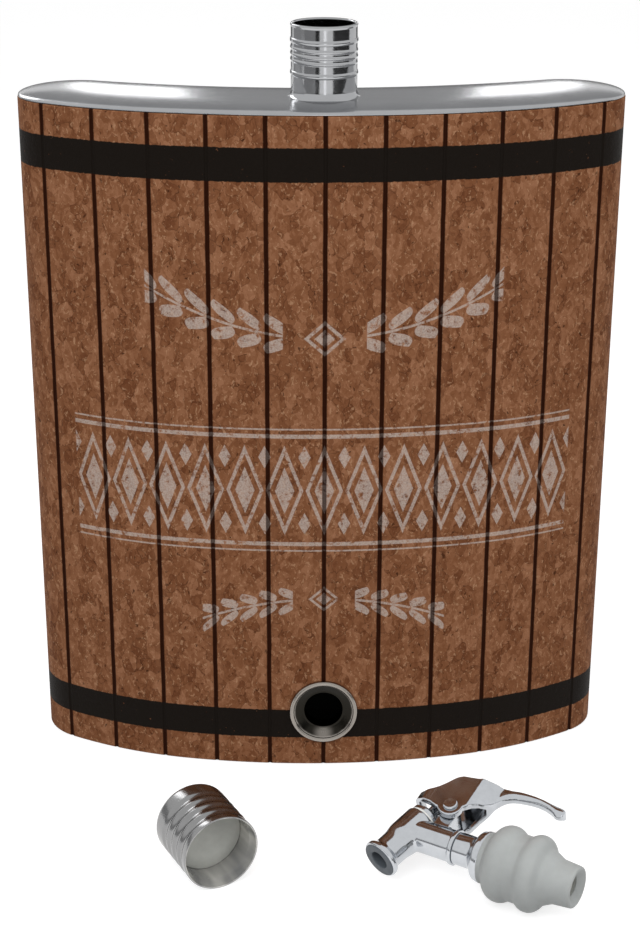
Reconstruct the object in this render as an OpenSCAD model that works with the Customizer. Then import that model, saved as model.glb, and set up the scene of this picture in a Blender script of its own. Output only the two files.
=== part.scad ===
// Jumbo cork-wrapped steel flask with a screw cap and a press tap, cap and tap taken off.
// Millimetres, +Z up, origin on the base under the neck, front towards -Y.

/* [Flask body] */
// Width of the flask over the cork
body_w = 210; // [180:1:240]
// Height of the cork-covered wall
body_h = 242; // [180:1:280]
// Thickness of the flask at its middle, over the cork
body_d = 44; // [40:0.5:52]
// Radius of the front's middle arc
front_r = 250; // [220:1:300]
// Half angle of the front's middle arc, in degrees
front_turn = 11.5; // [8:0.5:14]
// Radius of the arcs between the front and the ends
side_r = 140; // [125:1:170]
// Radius of the rounded ends
end_r = 20; // [19:0.25:23]
// Thickness of the cork
cork_t = 1.6; // [1:0.1:2.5]
// Thickness of the steel wall
shell_t = 0.8; // [0.6:0.1:1.2]
// Glue line between the cork and the steel
glue_gap = 0.05; // [0.02:0.01:0.1]
// Thickness of the base plate
base_t = 0.8; // [0.6:0.1:1.5]
// How far the cork stops above the table
cork_lift = 0.3; // [0.2:0.1:1]
// Weld gap round the base plate
weld_gap = 0.12; // [0.1:0.01:0.2]

/* [Stave lines] */
// Number of staves round the flask
stave_n = 24; // [16:2:32]
// Width of a stave line
stave_w = 0.9; // [0.5:0.1:1.5]
// Depth of a stave line
stave_depth = 0.3; // [0.2:0.05:0.5]

/* [Steel top] */
// Height of the crown above the cork's edge
crown_h = 3; // [2:0.25:5]
// Width of the crown's curved margin
crown_w = 17; // [13:0.5:17.5]
// Thickness of the top's sheet
top_t = 0.8; // [0.6:0.1:1.2]
// Height of the straight edge over the cork
top_edge = 0.5; // [0.3:0.1:1]
// How far the steel edge stands back from the cork's face
edge_inset = 0.2; // [0.1:0.05:0.4]

/* [Neck] */
// Outer radius of the neck
neck_r = 11.15; // [10:0.05:12.5]
// Wall of the neck
neck_wall = 0.9; // [0.7:0.1:1.4]
// Height of the lip above the cork's edge
neck_h = 27.2; // [25:0.1:36]
// Radius of the neck's foot
foot_r = 13.25; // [13:0.25:15.5]
// Height of the flared foot
foot_h = 2.4; // [2:0.1:5]
// Height of a bead or thread ridge above the neck's face
ridge = 0.3; // [0.2:0.05:0.6]
// Pitch of the thread
thread_pitch = 2; // [1.8:0.1:2.2]
// Turns of thread that show
thread_n = 3; // [2:1:3]
// Length of the plain band between the lip and the upper bead
lip_band = 5.6; // [3:0.1:6]
// Height of the lower bead above the flared foot
bead_rise = 5.4; // [2:0.1:7]

/* [Spigot collar] */
// Height of the tap hole above the table
collar_z = 22.4; // [18:0.1:40]
// Outer radius of the collar
collar_r = 12.5; // [12:0.1:16]
// Width of the collar's rounded lip
collar_lip = 1.7; // [0.8:0.05:1.8]
// How far the lip stands in front of the cork
collar_proud = 1.4; // [0.8:0.1:3]
// Depth of the dished mouth
cup_depth = 2.4; // [1.5:0.1:3]
// Radius of the step round the hole
step_r = 8.7; // [8.2:0.1:9.2]
// Radius of the tap hole
hole_r = 7; // [6.25:0.05:7.25]
// Length of the collar's sleeve inside the wall
sleeve_len = 4; // [2:0.5:8]

/* [Screw cap] */
// Radius over the cap's ribs
cap_r = 13.35; // [12.6:0.05:14.5]
// Length of the cap
cap_len = 25.6; // [20:0.1:30]
// Wall of the cap
cap_wall = 0.6; // [0.5:0.05:0.65]
// Depth of the grooves between the ribs
rib_depth = 0.6; // [0.4:0.05:0.65]
// Spacing of the ribs
rib_pitch = 4.2; // [3.5:0.1:4.5]
// Number of ribs
rib_n = 4; // [3:1:4]
// Rounding of the closed end
cap_round = 2.6; // [1.5:0.1:4]
// Depth of the liner's face behind the rim
liner_depth = 11; // [8:0.5:14]
// Thickness of the liner
liner_t = 2; // [1:0.25:3]
// Where the cap lies: its middle, to the left and towards the viewer
cap_at = [-41.6, -90.1];
// Angle of the cap's open end from the front, in degrees
cap_turn = 26; // [0:1:60]

/* [Tap body] */
// Radius of the tap's barrel
barrel_r = 6.2; // [6:0.1:6.8]
// Height of the barrel's top above the tube's axis
barrel_top = 6; // [5.8:0.1:6.4]
// Radius of the spout
spout_r = 5.5; // [5.2:0.1:6]
// Depth of the spout's end below the tube's axis
spout_drop = 15.3; // [14:0.1:20]
// Radius of the spout's lip
lip_r = 6.8; // [6.4:0.1:8]
// Radius of the spout's bore
spout_bore = 4.6; // [4:0.1:4.8]
// Bore of the grey sleeve in the spout
sleeve_bore = 3.3; // [2.6:0.1:3.6]
// Radius of the valve seat's hole
seat_r = 2.4; // [2:0.1:2.8]
// Depth of the valve seat below the tube's axis
seat_drop = 2; // [1.5:0.1:2.5]
// Radius of the valve chamber
chamber_r = 4.7; // [4.5:0.05:5]
// Gap left under the spout's lip where the tap lies
lip_gap = 2; // [0.5:0.25:3]
// Lean of the barrel towards the bung, in degrees
tap_lean = 14; // [10:0.5:18]

/* [Inlet tube] */
// Radius of the inlet tube
tube_r = 5.5; // [5.2:0.1:6.5]
// Bore of the inlet tube
tube_bore = 3.2; // [2.5:0.1:3.4]
// Distance of the tube's joint from the barrel's axis
joint_x = 18.2; // [17.8:0.1:20]
// Depth of the joint's socket
socket_len = 3.6; // [3:0.1:4]
// Distance of the flange's back from the barrel's axis
flange_x = 29; // [28:0.2:33]
// Radius of the flange
flange_r = 8.7; // [8:0.1:9.4]
// Radius of the tail inside the bung
tail_r = 4.6; // [4.2:0.1:5]

/* [Bung] */
// Radius of the bung's rings
ring_r = 12.85; // [12.2:0.05:14.5]
// Distance from the flange to the first ring's crest
ring_x = 7; // [6:0.25:9]
// Spacing of the two rings
ring_pitch = 10.6; // [9.5:0.1:12]
// Rounding of the rings
ring_round = 5.2; // [4:0.1:5.5]
// Radius of the groove between the rings
groove_r = 11.3; // [10.5:0.1:11.8]
// Radius of the shank beside the rings
shank_r = 7.5; // [7:0.1:8.2]
// Radius of the shank at its end
shank_end_r = 6.95; // [6.5:0.05:7.2]
// Length of the bung
bung_len = 32.8; // [30:0.1:38]

/* [Valve] */
// Radius of the valve stem
stem_r = 1.9; // [1.6:0.05:2]
// Radius of the valve cup
cup_r = 3.8; // [3.5:0.1:4]
// Height of the valve cup
cup_h = 2.4; // [1.8:0.1:2.6]
// Thickness of the gasket under the bonnet
gasket_t = 0.6; // [0.4:0.1:0.7]
// Thickness of the bonnet's flange
bonnet_t = 2.4; // [1.8:0.1:2.6]
// Radius of the bonnet's flange
bonnet_r = 5.6; // [5.4:0.05:5.7]
// Depth of the bonnet's plug in the barrel
plug_len = 2; // [1.7:0.1:2.2]
// Thickness of the stem seal's section
seal_t = 1; // [0.9:0.05:1.05]
// Wire of the return spring
wire_d = 0.6; // [0.5:0.05:0.7]
// Middle radius of the return spring
spring_r = 3.4; // [3.35:0.05:3.6]
// Turns of the return spring
spring_n = 2.25; // [1.5:0.25:2.5]
// Radius of the stem's button
button_r = 3.2; // [2.9:0.1:3.8]
// Height of the stem's button
button_t = 3.4; // [2.4:0.1:4]

/* [Lever] */
// Distance of the pivot behind the stem
pivot_x = 10.4; // [10.3:0.05:11]
// Height of the pivot above the tube's axis
pivot_z = 11; // [10.6:0.1:12]
// Radius of the pivot pin
pin_r = 1.55; // [1.2:0.05:1.7]
// Radius of the lever's cheeks round the pivot
cheek_r = 4.4; // [4:0.05:4.5]
// Radius of the lug between the cheeks
lug_r = 2.9; // [2.7:0.05:3]
// Width of the lever over its cheeks
lever_w = 14; // [13.5:0.25:16]
// Thickness of a cheek
cheek_t = 2.4; // [1.8:0.1:2.5]
// Width of the lever at its tip
tip_w = 4; // [3.5:0.25:6]
// Height of the lever's back above the pivot
lever_rise = 14; // [13:0.2:17]
// How much higher the tail is than the lever's back
tail_rise = 5.4; // [3:0.1:6]
// Thickness of the lever's back
web_t = 2.2; // [1.6:0.1:2.4]
// Distance of the tip's middle from the barrel's axis
tip_x = 43; // [42:0.5:50]
// Radius of the lever's tip
tip_r = 2.2; // [1.8:0.1:2.6]
// Height of the fork's fingers above the pivot
fork_rise = 2.4; // [2.2:0.05:3]
// How far the lever's hood reaches in front of the stem
hood_reach = 7; // [6:0.25:7.5]
// Radius of the fork's fingers
fork_r = 1.2; // [1:0.05:1.4]
// Where the tap lies: the bung's first ring, to the right and towards the viewer
tap_at = [57.5, -109.4];
// Angle of the bung's end from the right towards the viewer, in degrees
tap_turn = 33.5; // [0:0.5:60]

/* [Fits] */
// Clearance of a glued or pressed fit
snug = 0.05; // [0.02:0.01:0.08]
// Clearance of a running fit
run_fit = 0.08; // [0.05:0.01:0.1]
// Gap between pieces that move past each other
clear = 0.3; // [0.25:0.05:0.5]

/* [Hidden] */
$fn = 96;
far = 400;

// Plan of the flask: tangent arcs for the front, the sides, the ends and the hollow back
front_c = [0, front_r - body_d / 2];
side_c = front_c + (front_r - side_r) * [sin(front_turn), -cos(front_turn)];
end_x = body_w / 2 - end_r;
side_turn = asin((end_x - side_c.x) / (side_r - end_r));
end_c = side_c + (side_r - end_r) * [sin(side_turn), -cos(side_turn)];
hollow = body_d / 2 - end_c.y;
back_r = (end_x ^ 2 + hollow ^ 2 - end_r ^ 2) / (2 * (end_r - hollow));
back_c = [0, body_d / 2 + back_r];
back_turn = asin(end_x / (back_r + end_r));
end_turn = 180 - side_turn + back_turn;

// Lengths along half of the plan, from the front's middle
front_len = front_r * front_turn * PI / 180;
side_len = side_r * (side_turn - front_turn) * PI / 180;
end_len = end_r * end_turn * PI / 180;
back_len = back_r * back_turn * PI / 180;
half_len = front_len + side_len + end_len + back_len;
stave_pitch = 2 * half_len / stave_n;

wall_in = cork_t + glue_gap + shell_t;
crown_z = body_h + crown_h;

// Point and outward heading on the right half of the plan, at a length from the front's middle
function on_arc(c, r, turn) = [c.x + r * sin(turn), c.y - r * cos(turn), turn];
function on_plan(len, inset = 0) =
    len < front_len ? on_arc(front_c, front_r - inset, len / front_r * 180 / PI)
    : len < front_len + side_len
        ? on_arc(side_c, side_r - inset, front_turn + (len - front_len) / side_r * 180 / PI)
    : len < front_len + side_len + end_len
        ? on_arc(end_c, end_r - inset, side_turn + (len - front_len - side_len) / end_r * 180 / PI)
    : let (turn = (half_len - len) / back_r * 180 / PI)
      [(back_r + inset) * sin(turn), back_c.y - (back_r + inset) * cos(turn), 180 + turn];

// Steps along each arc of half of the plan
front_n = 10;
side_n = 10;
end_n = 28;
back_n = 15;

// Closed outline of the plan at an inset from the cork's face
plan_stops = concat(
    [for (i = [0 : front_n - 1]) front_len * i / front_n],
    [for (i = [0 : side_n - 1]) front_len + side_len * i / side_n],
    [for (i = [0 : end_n - 1]) front_len + side_len + end_len * i / end_n],
    [for (i = [0 : back_n]) half_len - back_len * (1 - i / back_n)]
);
half_n = len(plan_stops) - 1;
function outline(inset) = [
    for (i = [-half_n : half_n - 1])
        let (p = on_plan(plan_stops[abs(i)], inset)) [i < 0 ? -p.x : p.x, p.y]
];

// A wall that follows the plan, from one inset to another
module plan_wall(inset, t, h) {
    linear_extrude(h)
        difference() {
            polygon(outline(inset));
            polygon(outline(inset + t));
        }
}

// Moves a shape drawn along +Z, from the front face inwards, to the tap hole
module at_hole() {
    translate([0, -body_d / 2, collar_z])
        rotate([-90, 0, 0])
            children();
}

// Number of steps from the front's middle to where a side sheet ends
side_end_n = front_n + side_n + end_n;
function plan_pt(i, inset) =
    let (k = i > half_n ? i - 2 * half_n : i, p = on_plan(plan_stops[abs(k)], inset))
        [k < 0 ? -p.x : p.x, p.y];

// A sheet of the steel wall between two places
module wall_sheet(first, last) {
    inset = cork_t + glue_gap;
    linear_extrude(body_h)
        polygon(concat(
            [for (i = [first : last]) plan_pt(i, inset)],
            [for (i = [last : -1 : first]) plan_pt(i, inset + shell_t)]
        ));
}

module front_wall() {
    color("lightsteelblue")
        difference() {
            wall_sheet(-front_n, front_n);
            at_hole()
                translate([0, 0, -body_d / 2])
                    cylinder(r = step_r + snug, h = body_d);
        }
}

module left_wall() {
    color("lightsteelblue")
        wall_sheet(-side_end_n, -front_n);
}

module right_wall() {
    color("lightsteelblue")
        wall_sheet(front_n, side_end_n);
}

module back_wall() {
    color("lightsteelblue")
        wall_sheet(side_end_n, 2 * half_n - side_end_n);
}

module base_plate() {
    color("silver")
        linear_extrude(base_t)
            polygon(outline(wall_in + weld_gap));
}

// Quarter-oval edge of the crown, from the edge of the sheet to its flat middle
crown_n = 6;
function crown_arc(t0, z0, z1) = [
    for (i = [0 : crown_n])
        let (a = 90 * i / crown_n) [crown_w - (crown_w - t0) * cos(a), z0 + (z1 - z0) * sin(a)]
];
sheet = concat(
    crown_arc(wall_in, 0, crown_h - top_t),
    [[edge_inset, 0]],
    crown_arc(edge_inset, top_edge, crown_h)
);
under_n = crown_n + 1;
// Rings of points, from the underside's middle out to the edge and back over the top
top_rings = concat(
    [for (i = [under_n - 1 : -1 : 0]) sheet[i]],
    [for (i = [under_n : len(sheet) - 1]) sheet[i]]
);
ring_pts = 2 * half_n;
top_pts = [for (q = top_rings) each [for (p = outline(q.x)) [p.x, p.y, q.y]]];
top_sides = [
    for (i = [0 : len(top_rings) - 2], k = [0 : ring_pts - 1])
        let (p = i * ring_pts + k, q = i * ring_pts + (k + 1) % ring_pts)
            each [[p, q + ring_pts, q], [p, p + ring_pts, q + ring_pts]]
];
top_caps = [
    [for (k = [0 : ring_pts - 1]) k],
    [for (k = [ring_pts - 1 : -1 : 0]) (len(top_rings) - 1) * ring_pts + k]
];

module top_plate() {
    color("gainsboro")
        translate([0, 0, body_h])
            difference() {
                polyhedron(top_pts, concat(top_sides, top_caps));
                translate([0, 0, -crown_h])
                    cylinder(r = foot_r + snug, h = 3 * crown_h);
            }
}

neck_top = body_h + neck_h;
foot_top = crown_z + foot_h;
foot_edge = 1.4;
bead_w = 1.2;
bead_z = foot_top + bead_rise;
upper_bead_z = neck_top - lip_band;
thread_z = upper_bead_z - thread_pitch * 0.9;
lip_round = neck_wall / 2;

// A rounded ridge round the neck
module ridge_ring(z, w) {
    rotate_extrude()
        polygon([
            [neck_r - ridge / 2, z - w / 2],
            [neck_r, z - w / 2],
            [neck_r + ridge, z - w / 6],
            [neck_r + ridge, z + w / 6],
            [neck_r, z + w / 2],
            [neck_r - ridge / 2, z + w / 2]
        ]);
}

module neck_tube() {
    flare = foot_r - neck_r;
    color("gainsboro")
        difference() {
            union() {
                translate([0, 0, crown_z - foot_edge])
                    cylinder(r = foot_r, h = foot_edge - top_edge / 2);
                rotate_extrude()
                    polygon(concat(
                        [[0, crown_z - foot_edge], [foot_r, crown_z - foot_edge]],
                        [for (a = [0 : 15 : 90])
                            [foot_r - flare * sin(a), foot_top - (foot_h + top_edge / 2) * cos(a)]],
                        [[neck_r, neck_top - lip_round], [neck_r - lip_round, neck_top], [0, neck_top]]
                    ));
                ridge_ring(bead_z, bead_w);
                ridge_ring(upper_bead_z, bead_w);
                for (i = [0 : thread_n - 1])
                    ridge_ring(thread_z - i * thread_pitch, bead_w);
            }
            translate([0, 0, body_h - neck_h])
                cylinder(r = neck_r - neck_wall, h = 3 * neck_h);
        }
}

module spigot_collar() {
    front = -collar_proud;
    floor_z = front + cup_depth;
    mouth_r = collar_r - collar_lip;
    color("silver")
        at_hole()
            rotate_extrude()
                polygon(concat(
                    [[hole_r, floor_z], [step_r - collar_lip / 2, floor_z]],
                    [[mouth_r - collar_lip / 2, front + collar_lip / 2]],
                    [for (a = [180 : -30 : 0])
                        [collar_r - collar_lip / 2 + collar_lip / 2 * cos(a),
                         front + collar_lip / 2 - collar_lip / 2 * sin(a)]],
                    [[collar_r, cork_t - snug], [step_r, cork_t - snug],
                     [step_r, cork_t + shell_t + sleeve_len], [hole_r, cork_t + shell_t + sleeve_len]]
                ));
}

module cork_wrap() {
    color("peru")
        difference() {
            translate([0, 0, cork_lift])
                plan_wall(0, cork_t, body_h - cork_lift);
            for (i = [-stave_n / 2 + 1 : stave_n / 2])
                let (p = on_plan(abs(i) * stave_pitch))
                    translate([i < 0 ? -p.x : p.x, p.y, -far])
                        rotate([0, 0, i < 0 ? -p.z : p.z])
                            translate([-stave_w / 2, -cork_t])
                                cube([stave_w, cork_t + stave_depth, 2 * far]);
            at_hole()
                translate([0, 0, -body_d / 2])
                    cylinder(r = collar_r + snug, h = body_d);
        }
}

// Lays the cap on its side; the cap is drawn with its rim at z = 0 and its closed end up
module lay_cap() {
    translate([cap_at.x, cap_at.y, cap_r])
        rotate([0, 0, cap_turn])
            rotate([-90, 0, 0])
                translate([0, 0, -cap_len / 2])
                    children();
}

rib_n_pts = 8;
groove_n = rib_n;
plain_rim = rib_pitch / 2;

// Radius of the cap's face at a height: rounded ribs with grooves between them
function rib_wave(z) =
    z < plain_rim || z > plain_rim + groove_n * rib_pitch ? 0
    : rib_depth * (1 - cos(360 * (z - plain_rim) / rib_pitch)) / 2;
rib_zs = [for (i = [0 : groove_n * rib_n_pts]) plain_rim + i * rib_pitch / rib_n_pts];

module cap_shell() {
    color("silver")
        lay_cap()
            rotate_extrude()
                polygon(concat(
                    [[cap_r - cap_wall, 0], [cap_r, 0]],
                    [for (z = rib_zs) [cap_r - rib_wave(z), z]],
                    [for (a = [0 : 15 : 90])
                        [cap_r - cap_round + cap_round * cos(a), cap_len - cap_round + cap_round * sin(a)]],
                    [[0, cap_len], [0, cap_len - cap_wall]],
                    [for (a = [90 : -15 : 0])
                        [cap_r - cap_round + (cap_round - cap_wall) * cos(a),
                         cap_len - cap_round + (cap_round - cap_wall) * sin(a)]],
                    [for (i = [len(rib_zs) - 1 : -1 : 0])
                        [cap_r - cap_wall - rib_wave(rib_zs[i]), rib_zs[i]]]
                ));
}

module cap_liner() {
    liner_r = cap_r - cap_wall - rib_depth - snug;
    dish = liner_t / 4;
    color("whitesmoke")
        lay_cap()
            rotate_extrude()
                polygon([
                    [0, liner_depth],
                    [liner_r - dish, liner_depth],
                    [liner_r, liner_depth + dish],
                    [liner_r, liner_depth + liner_t],
                    [0, liner_depth + liner_t]
                ]);
}

// Heights in the tap's own frame: barrel axis at x = 0, tube axis at z = 0, bung towards +X
bonnet_z = barrel_top + gasket_t;
deck_z = bonnet_z + bonnet_t;
seat_z = -seat_drop;
cup_z = seat_z + snug;
lever_top = pivot_z + lever_rise;
fork_z = pivot_z + fork_rise;
nose_r = fork_r + 1;
fork_x = fork_z * tan(tap_lean);
hood_f = fork_x - hood_reach;
button_z = fork_z / cos(tap_lean) + fork_r + clear;
cheek_in = lever_w / 2 - cheek_t;
lug_w = 2 * (cheek_in - clear);

// The tap lies on its bung with its spout low and its lever raised
ring1_x = flange_x + ring_x;
lip_drop = spout_drop * cos(tap_lean);
tap_lie = asin((ring_r - lip_gap) / norm([lip_drop, lip_r])) - atan2(lip_r, lip_drop);

// Lays the tap on the table
module lay_tap() {
    translate([tap_at.x, tap_at.y, ring_r])
        rotate([0, 0, -tap_turn])
            rotate([tap_lie - 90, 0, 0])
                translate([-ring1_x, 0, 0])
                    children();
}

// Leans a shape drawn up the barrel's axis
module lean_up() {
    rotate([0, tap_lean, 0])
        children();
}

// Turns a shape drawn along +Z to run along the tube
module along_tube(x) {
    translate([x, 0, 0])
        rotate([0, 90, 0])
            children();
}

lip_t = 1.6;
spout_neck = 8;
belly_drop = 3;
collar_ring_w = 1.4;
collar_ring_h = 0.6;

module tap_body() {
    color("gainsboro")
        lay_tap()
            difference() {
                union() {
                    lean_up()
                        rotate_extrude()
                            polygon(concat(
                                [[0, -spout_drop], [lip_r - lip_t / 4, -spout_drop],
                                 [lip_r, -spout_drop + lip_t / 4], [lip_r, -spout_drop + lip_t],
                                 [spout_r, -spout_drop + lip_t * 2]],
                                [for (a = [0 : 15 : 90])
                                    [(barrel_r + spout_r) / 2 - (barrel_r - spout_r) / 2 * cos(2 * a),
                                     -spout_neck + (spout_neck - belly_drop) * a / 90]],
                                [[barrel_r, barrel_top - lip_t / 2], [barrel_r - lip_t / 4, barrel_top],
                                 [0, barrel_top]]
                            ));
                    along_tube(0)
                        cylinder(r = tube_r, h = joint_x);
                    along_tube(joint_x - collar_ring_w)
                        cylinder(r = tube_r + collar_ring_h, h = collar_ring_w);
                    translate([pivot_x - lug_r, -lug_w / 2, 0])
                        cube([2 * lug_r, lug_w, pivot_z]);
                    translate([pivot_x, lug_w / 2, pivot_z])
                        rotate([90, 0, 0])
                            cylinder(r = lug_r, h = lug_w);
                }
                lean_up() {
                    translate([0, 0, -far])
                        cylinder(r = spout_bore, h = far - spout_neck + belly_drop);
                    translate([0, 0, -far])
                        cylinder(r = seat_r, h = far);
                    translate([0, 0, seat_z])
                        cylinder(r = chamber_r, h = deck_z - seat_z);
                    translate([0, 0, barrel_top])
                        cylinder(r = bonnet_r + clear, h = deck_z + clear - barrel_top);
                }
                along_tube(chamber_r * 0.9)
                    cylinder(r = tube_bore + clear, h = far);
                along_tube(joint_x - socket_len)
                    cylinder(r = tail_r, h = far);
                translate([pivot_x, far / 2, pivot_z])
                    rotate([90, 0, 0])
                        cylinder(r = pin_r + snug, h = far);
            }
}

module spout_sleeve() {
    color("slategray")
        lay_tap() lean_up()
            translate([0, 0, -spout_drop])
                difference() {
                    cylinder(r = spout_bore - snug, h = spout_drop - spout_neck + belly_drop - clear);
                    translate([0, 0, -1])
                        cylinder(r = sleeve_bore, h = spout_drop);
                }
}

module inlet_tube() {
    neck_x = (joint_x + flange_x) / 2;
    flange_t = 1.5;
    tail_end = flange_x + bung_len - tail_r / 2;
    color("gainsboro")
        lay_tap()
            rotate([0, 90, 0])
                rotate_extrude()
                    polygon([
                        [tube_bore, flange_x],
                        [tube_bore + clear, flange_x - clear],
                        [tube_bore + clear, joint_x - socket_len + snug],
                        [tail_r - snug, joint_x - socket_len + snug],
                        [tail_r - snug, joint_x + snug],
                        [tube_r, joint_x + snug],
                        [tube_r, neck_x],
                        [(tube_r * 2 + flange_r) / 3, (neck_x + flange_x - flange_t) / 2],
                        [flange_r, flange_x - flange_t],
                        [flange_r, flange_x],
                        [tail_r - snug, flange_x],
                        [tail_r - snug, tail_end],
                        [tube_bore, tail_end]
                    ]);
}

module bung() {
    ring2_x = ring_x + ring_pitch;
    second_round = ring_round * 0.8;
    core_x = ring2_x + second_round / 2;
    neck_x = ring2_x + ring_round * 1.6;
    color("white")
        lay_tap()
            along_tube(flange_x + snug)
                difference() {
                    rotate_extrude() {
                        translate([ring_r - ring_round, ring_x])
                            circle(ring_round);
                        translate([ring_r - second_round, ring2_x])
                            circle(second_round);
                        polygon([
                            [0, 0],
                            [flange_r, 0],
                            [ring_r - ring_round, ring_x - ring_round],
                            [groove_r, ring_x],
                            [groove_r, ring2_x],
                            [ring_r - second_round * 0.7, core_x],
                            [shank_r + second_round / 2, neck_x - second_round],
                            [shank_r, neck_x],
                            [shank_end_r, bung_len - snug],
                            [0, bung_len - snug]
                        ]);
                    }
                    translate([0, 0, -far / 2])
                        cylinder(r = tail_r, h = far);
                }
}

module bonnet() {
    color("silver")
        lay_tap() lean_up()
            difference() {
                union() {
                    translate([0, 0, bonnet_z - gasket_t - plug_len])
                        cylinder(r = chamber_r - snug, h = plug_len + gasket_t + bonnet_t / 2);
                    translate([0, 0, bonnet_z])
                        rotate_extrude()
                            polygon([
                                [0, 0],
                                [bonnet_r, 0],
                                [bonnet_r, bonnet_t * 0.6],
                                [bonnet_r - bonnet_t * 0.4, bonnet_t],
                                [0, bonnet_t]
                            ]);
                }
                translate([0, 0, -far / 2])
                    cylinder(r = stem_r + run_fit, h = far);
                translate([0, 0, -far])
                    cylinder(r = stem_r + seal_t + snug, h = far + bonnet_z - snug);
            }
}

module bonnet_gasket() {
    color("white")
        lay_tap() lean_up()
            translate([0, 0, barrel_top])
                difference() {
                    cylinder(r = bonnet_r - snug, h = gasket_t);
                    translate([0, 0, -1])
                        cylinder(r = chamber_r, h = gasket_t + 2);
                }
}

module stem_o_ring() {
    seal_r = stem_r + run_fit + (seal_t - run_fit) / 2;
    color("black")
        lay_tap() lean_up()
            translate([0, 0, bonnet_z - snug - seal_t / 2])
                rotate_extrude()
                    translate([seal_r, 0])
                        circle((seal_t - run_fit) / 2 - snug / 2);
}

spring_z0 = cup_z + cup_h + wire_d / 2;
spring_z1 = barrel_top - plug_len - wire_d / 2;
turn_rings = 8;
wire_sides = 6;
ring_count = ceil(spring_n * turn_rings);
spring_pts = [
    for (i = [0 : ring_count], k = [0 : wire_sides - 1])
        let (a = 360 * i / turn_rings, b = 360 * k / wire_sides, r = spring_r + wire_d / 2 * cos(b))
            [r * cos(a), r * sin(a),
             spring_z0 + (spring_z1 - spring_z0) * i / ring_count + wire_d / 2 * sin(b)]
];
spring_sides = [
    for (i = [0 : ring_count - 1], k = [0 : wire_sides - 1])
        let (p = i * wire_sides + k, q = i * wire_sides + (k + 1) % wire_sides)
            each [[p, q, q + wire_sides], [p, q + wire_sides, p + wire_sides]]
];
spring_ends = [
    for (k = [1 : wire_sides - 2])
        each [[0, k + 1, k],
              [ring_count * wire_sides, ring_count * wire_sides + k, ring_count * wire_sides + k + 1]]
];
spring_gap = (spring_z1 - spring_z0) / spring_n - wire_d;
echo(spring_gap = spring_gap);

module return_spring() {
    color("gray")
        lay_tap() lean_up()
            polyhedron(spring_pts, concat(spring_sides, spring_ends));
}

pin_head_r = 2.5;
pin_head_t = 0.8;

module lever_pin() {
    reach = lever_w / 2 + run_fit;
    color("silver")
        lay_tap()
            translate([pivot_x, 0, pivot_z])
                rotate([90, 0, 0]) {
                    translate([0, 0, -reach])
                        cylinder(r = pin_r, h = 2 * reach);
                    for (side = [-1, 1])
                        translate([0, 0, side * (reach + pin_head_t / 2) - pin_head_t / 2])
                            cylinder(r = pin_head_r, h = pin_head_t);
                }
}

module valve_stem() {
    color("silver")
        lay_tap() lean_up()
            translate([0, 0, cup_z + cup_h / 2])
                cylinder(r = stem_r, h = button_z + button_t / 2 - cup_z - cup_h / 2);
}

module valve_cup() {
    color("white")
        lay_tap() lean_up()
            difference() {
                translate([0, 0, cup_z])
                    rotate_extrude()
                        polygon([
                            [0, 0],
                            [cup_r - cup_h / 4, 0],
                            [cup_r, cup_h / 4],
                            [cup_r, cup_h],
                            [0, cup_h]
                        ]);
                translate([0, 0, cup_z + cup_h / 2 - snug])
                    cylinder(r = stem_r + snug, h = cup_h);
            }
}

module stem_button() {
    color("silver")
        lay_tap() lean_up()
            difference() {
                translate([0, 0, button_z])
                    rotate_extrude()
                        polygon(concat(
                            [[0, 0], [button_r, 0], [button_r, button_t * 0.4]],
                            [for (a = [15 : 15 : 90])
                                [button_r * cos(a), button_t * (0.4 + 0.6 * sin(a))]]
                        ));
                translate([0, 0, button_z - button_t])
                    cylinder(r = stem_r + snug, h = button_t * 1.5 + snug);
            }
}

// Side outline of the lever, from fractions of its length and height about the pivot
tail = tip_x - pivot_x;
function lever_pt(along, up, lift = 0) = [
    pivot_x + along * (along < 0 ? pivot_x - fork_x / 2 : tail),
    pivot_z + up * lever_rise + lift * tail_rise
];

// Rounds off the corners of a line of points, its two ends kept
function soft(pts) = concat(
    [pts[0]],
    [for (i = [1 : len(pts) - 2], t = [0.28, -0.28])
        pts[i] + abs(t) * (pts[t > 0 ? i - 1 : i + 1] - pts[i])],
    [pts[len(pts) - 1]]
);

module lever_outline() {
    tip = lever_pt(1, 1, 0.3);
    translate([pivot_x, pivot_z])
        circle(cheek_r);
    translate([fork_x, fork_z])
        circle(nose_r);
    translate(tip)
        circle(tip_r);
    polygon(concat(
        soft([
            [fork_x, fork_z - nose_r * 1.7],
            [pivot_x - cheek_r * 0.8, pivot_z - cheek_r * 0.6],
            [pivot_x, pivot_z],
            [pivot_x + cheek_r, pivot_z],
            lever_pt(0.21, 0.33),
            lever_pt(0.30, 0.52),
            lever_pt(0.36, 0.86),
            lever_pt(0.445, 1, 0.12),
            lever_pt(0.55, 1, 0.28),
            lever_pt(0.72, 1, 0.42),
            lever_pt(0.86, 1, 0.3),
            tip - [0, tip_r]
        ]),
        soft([
            tip + tip_r * [0.5, 0.866],
            lever_pt(0.89, 1, 0.76),
            lever_pt(0.73, 1, 0.95),
            lever_pt(0.555, 1, 1),
            lever_pt(0.44, 1, 0.9),
            lever_pt(0.29, 1, 0.66),
            lever_pt(0.19, 1, 0.32),
            lever_pt(0.095, 1, 0.06),
            lever_pt(0, 1),
            lever_pt(-0.28, 0.96),
            lever_pt(-0.48, 0.83),
            lever_pt(-0.67, 0.62),
            lever_pt(-0.93, 0.4),
            lever_pt(-1.26, 0.27),
            lever_pt(-1.56, 0.2),
            [hood_f, fork_z - nose_r / 2],
            [hood_f + nose_r * 0.1, fork_z - nose_r * 1.2]
        ])
    ));
}

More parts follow.
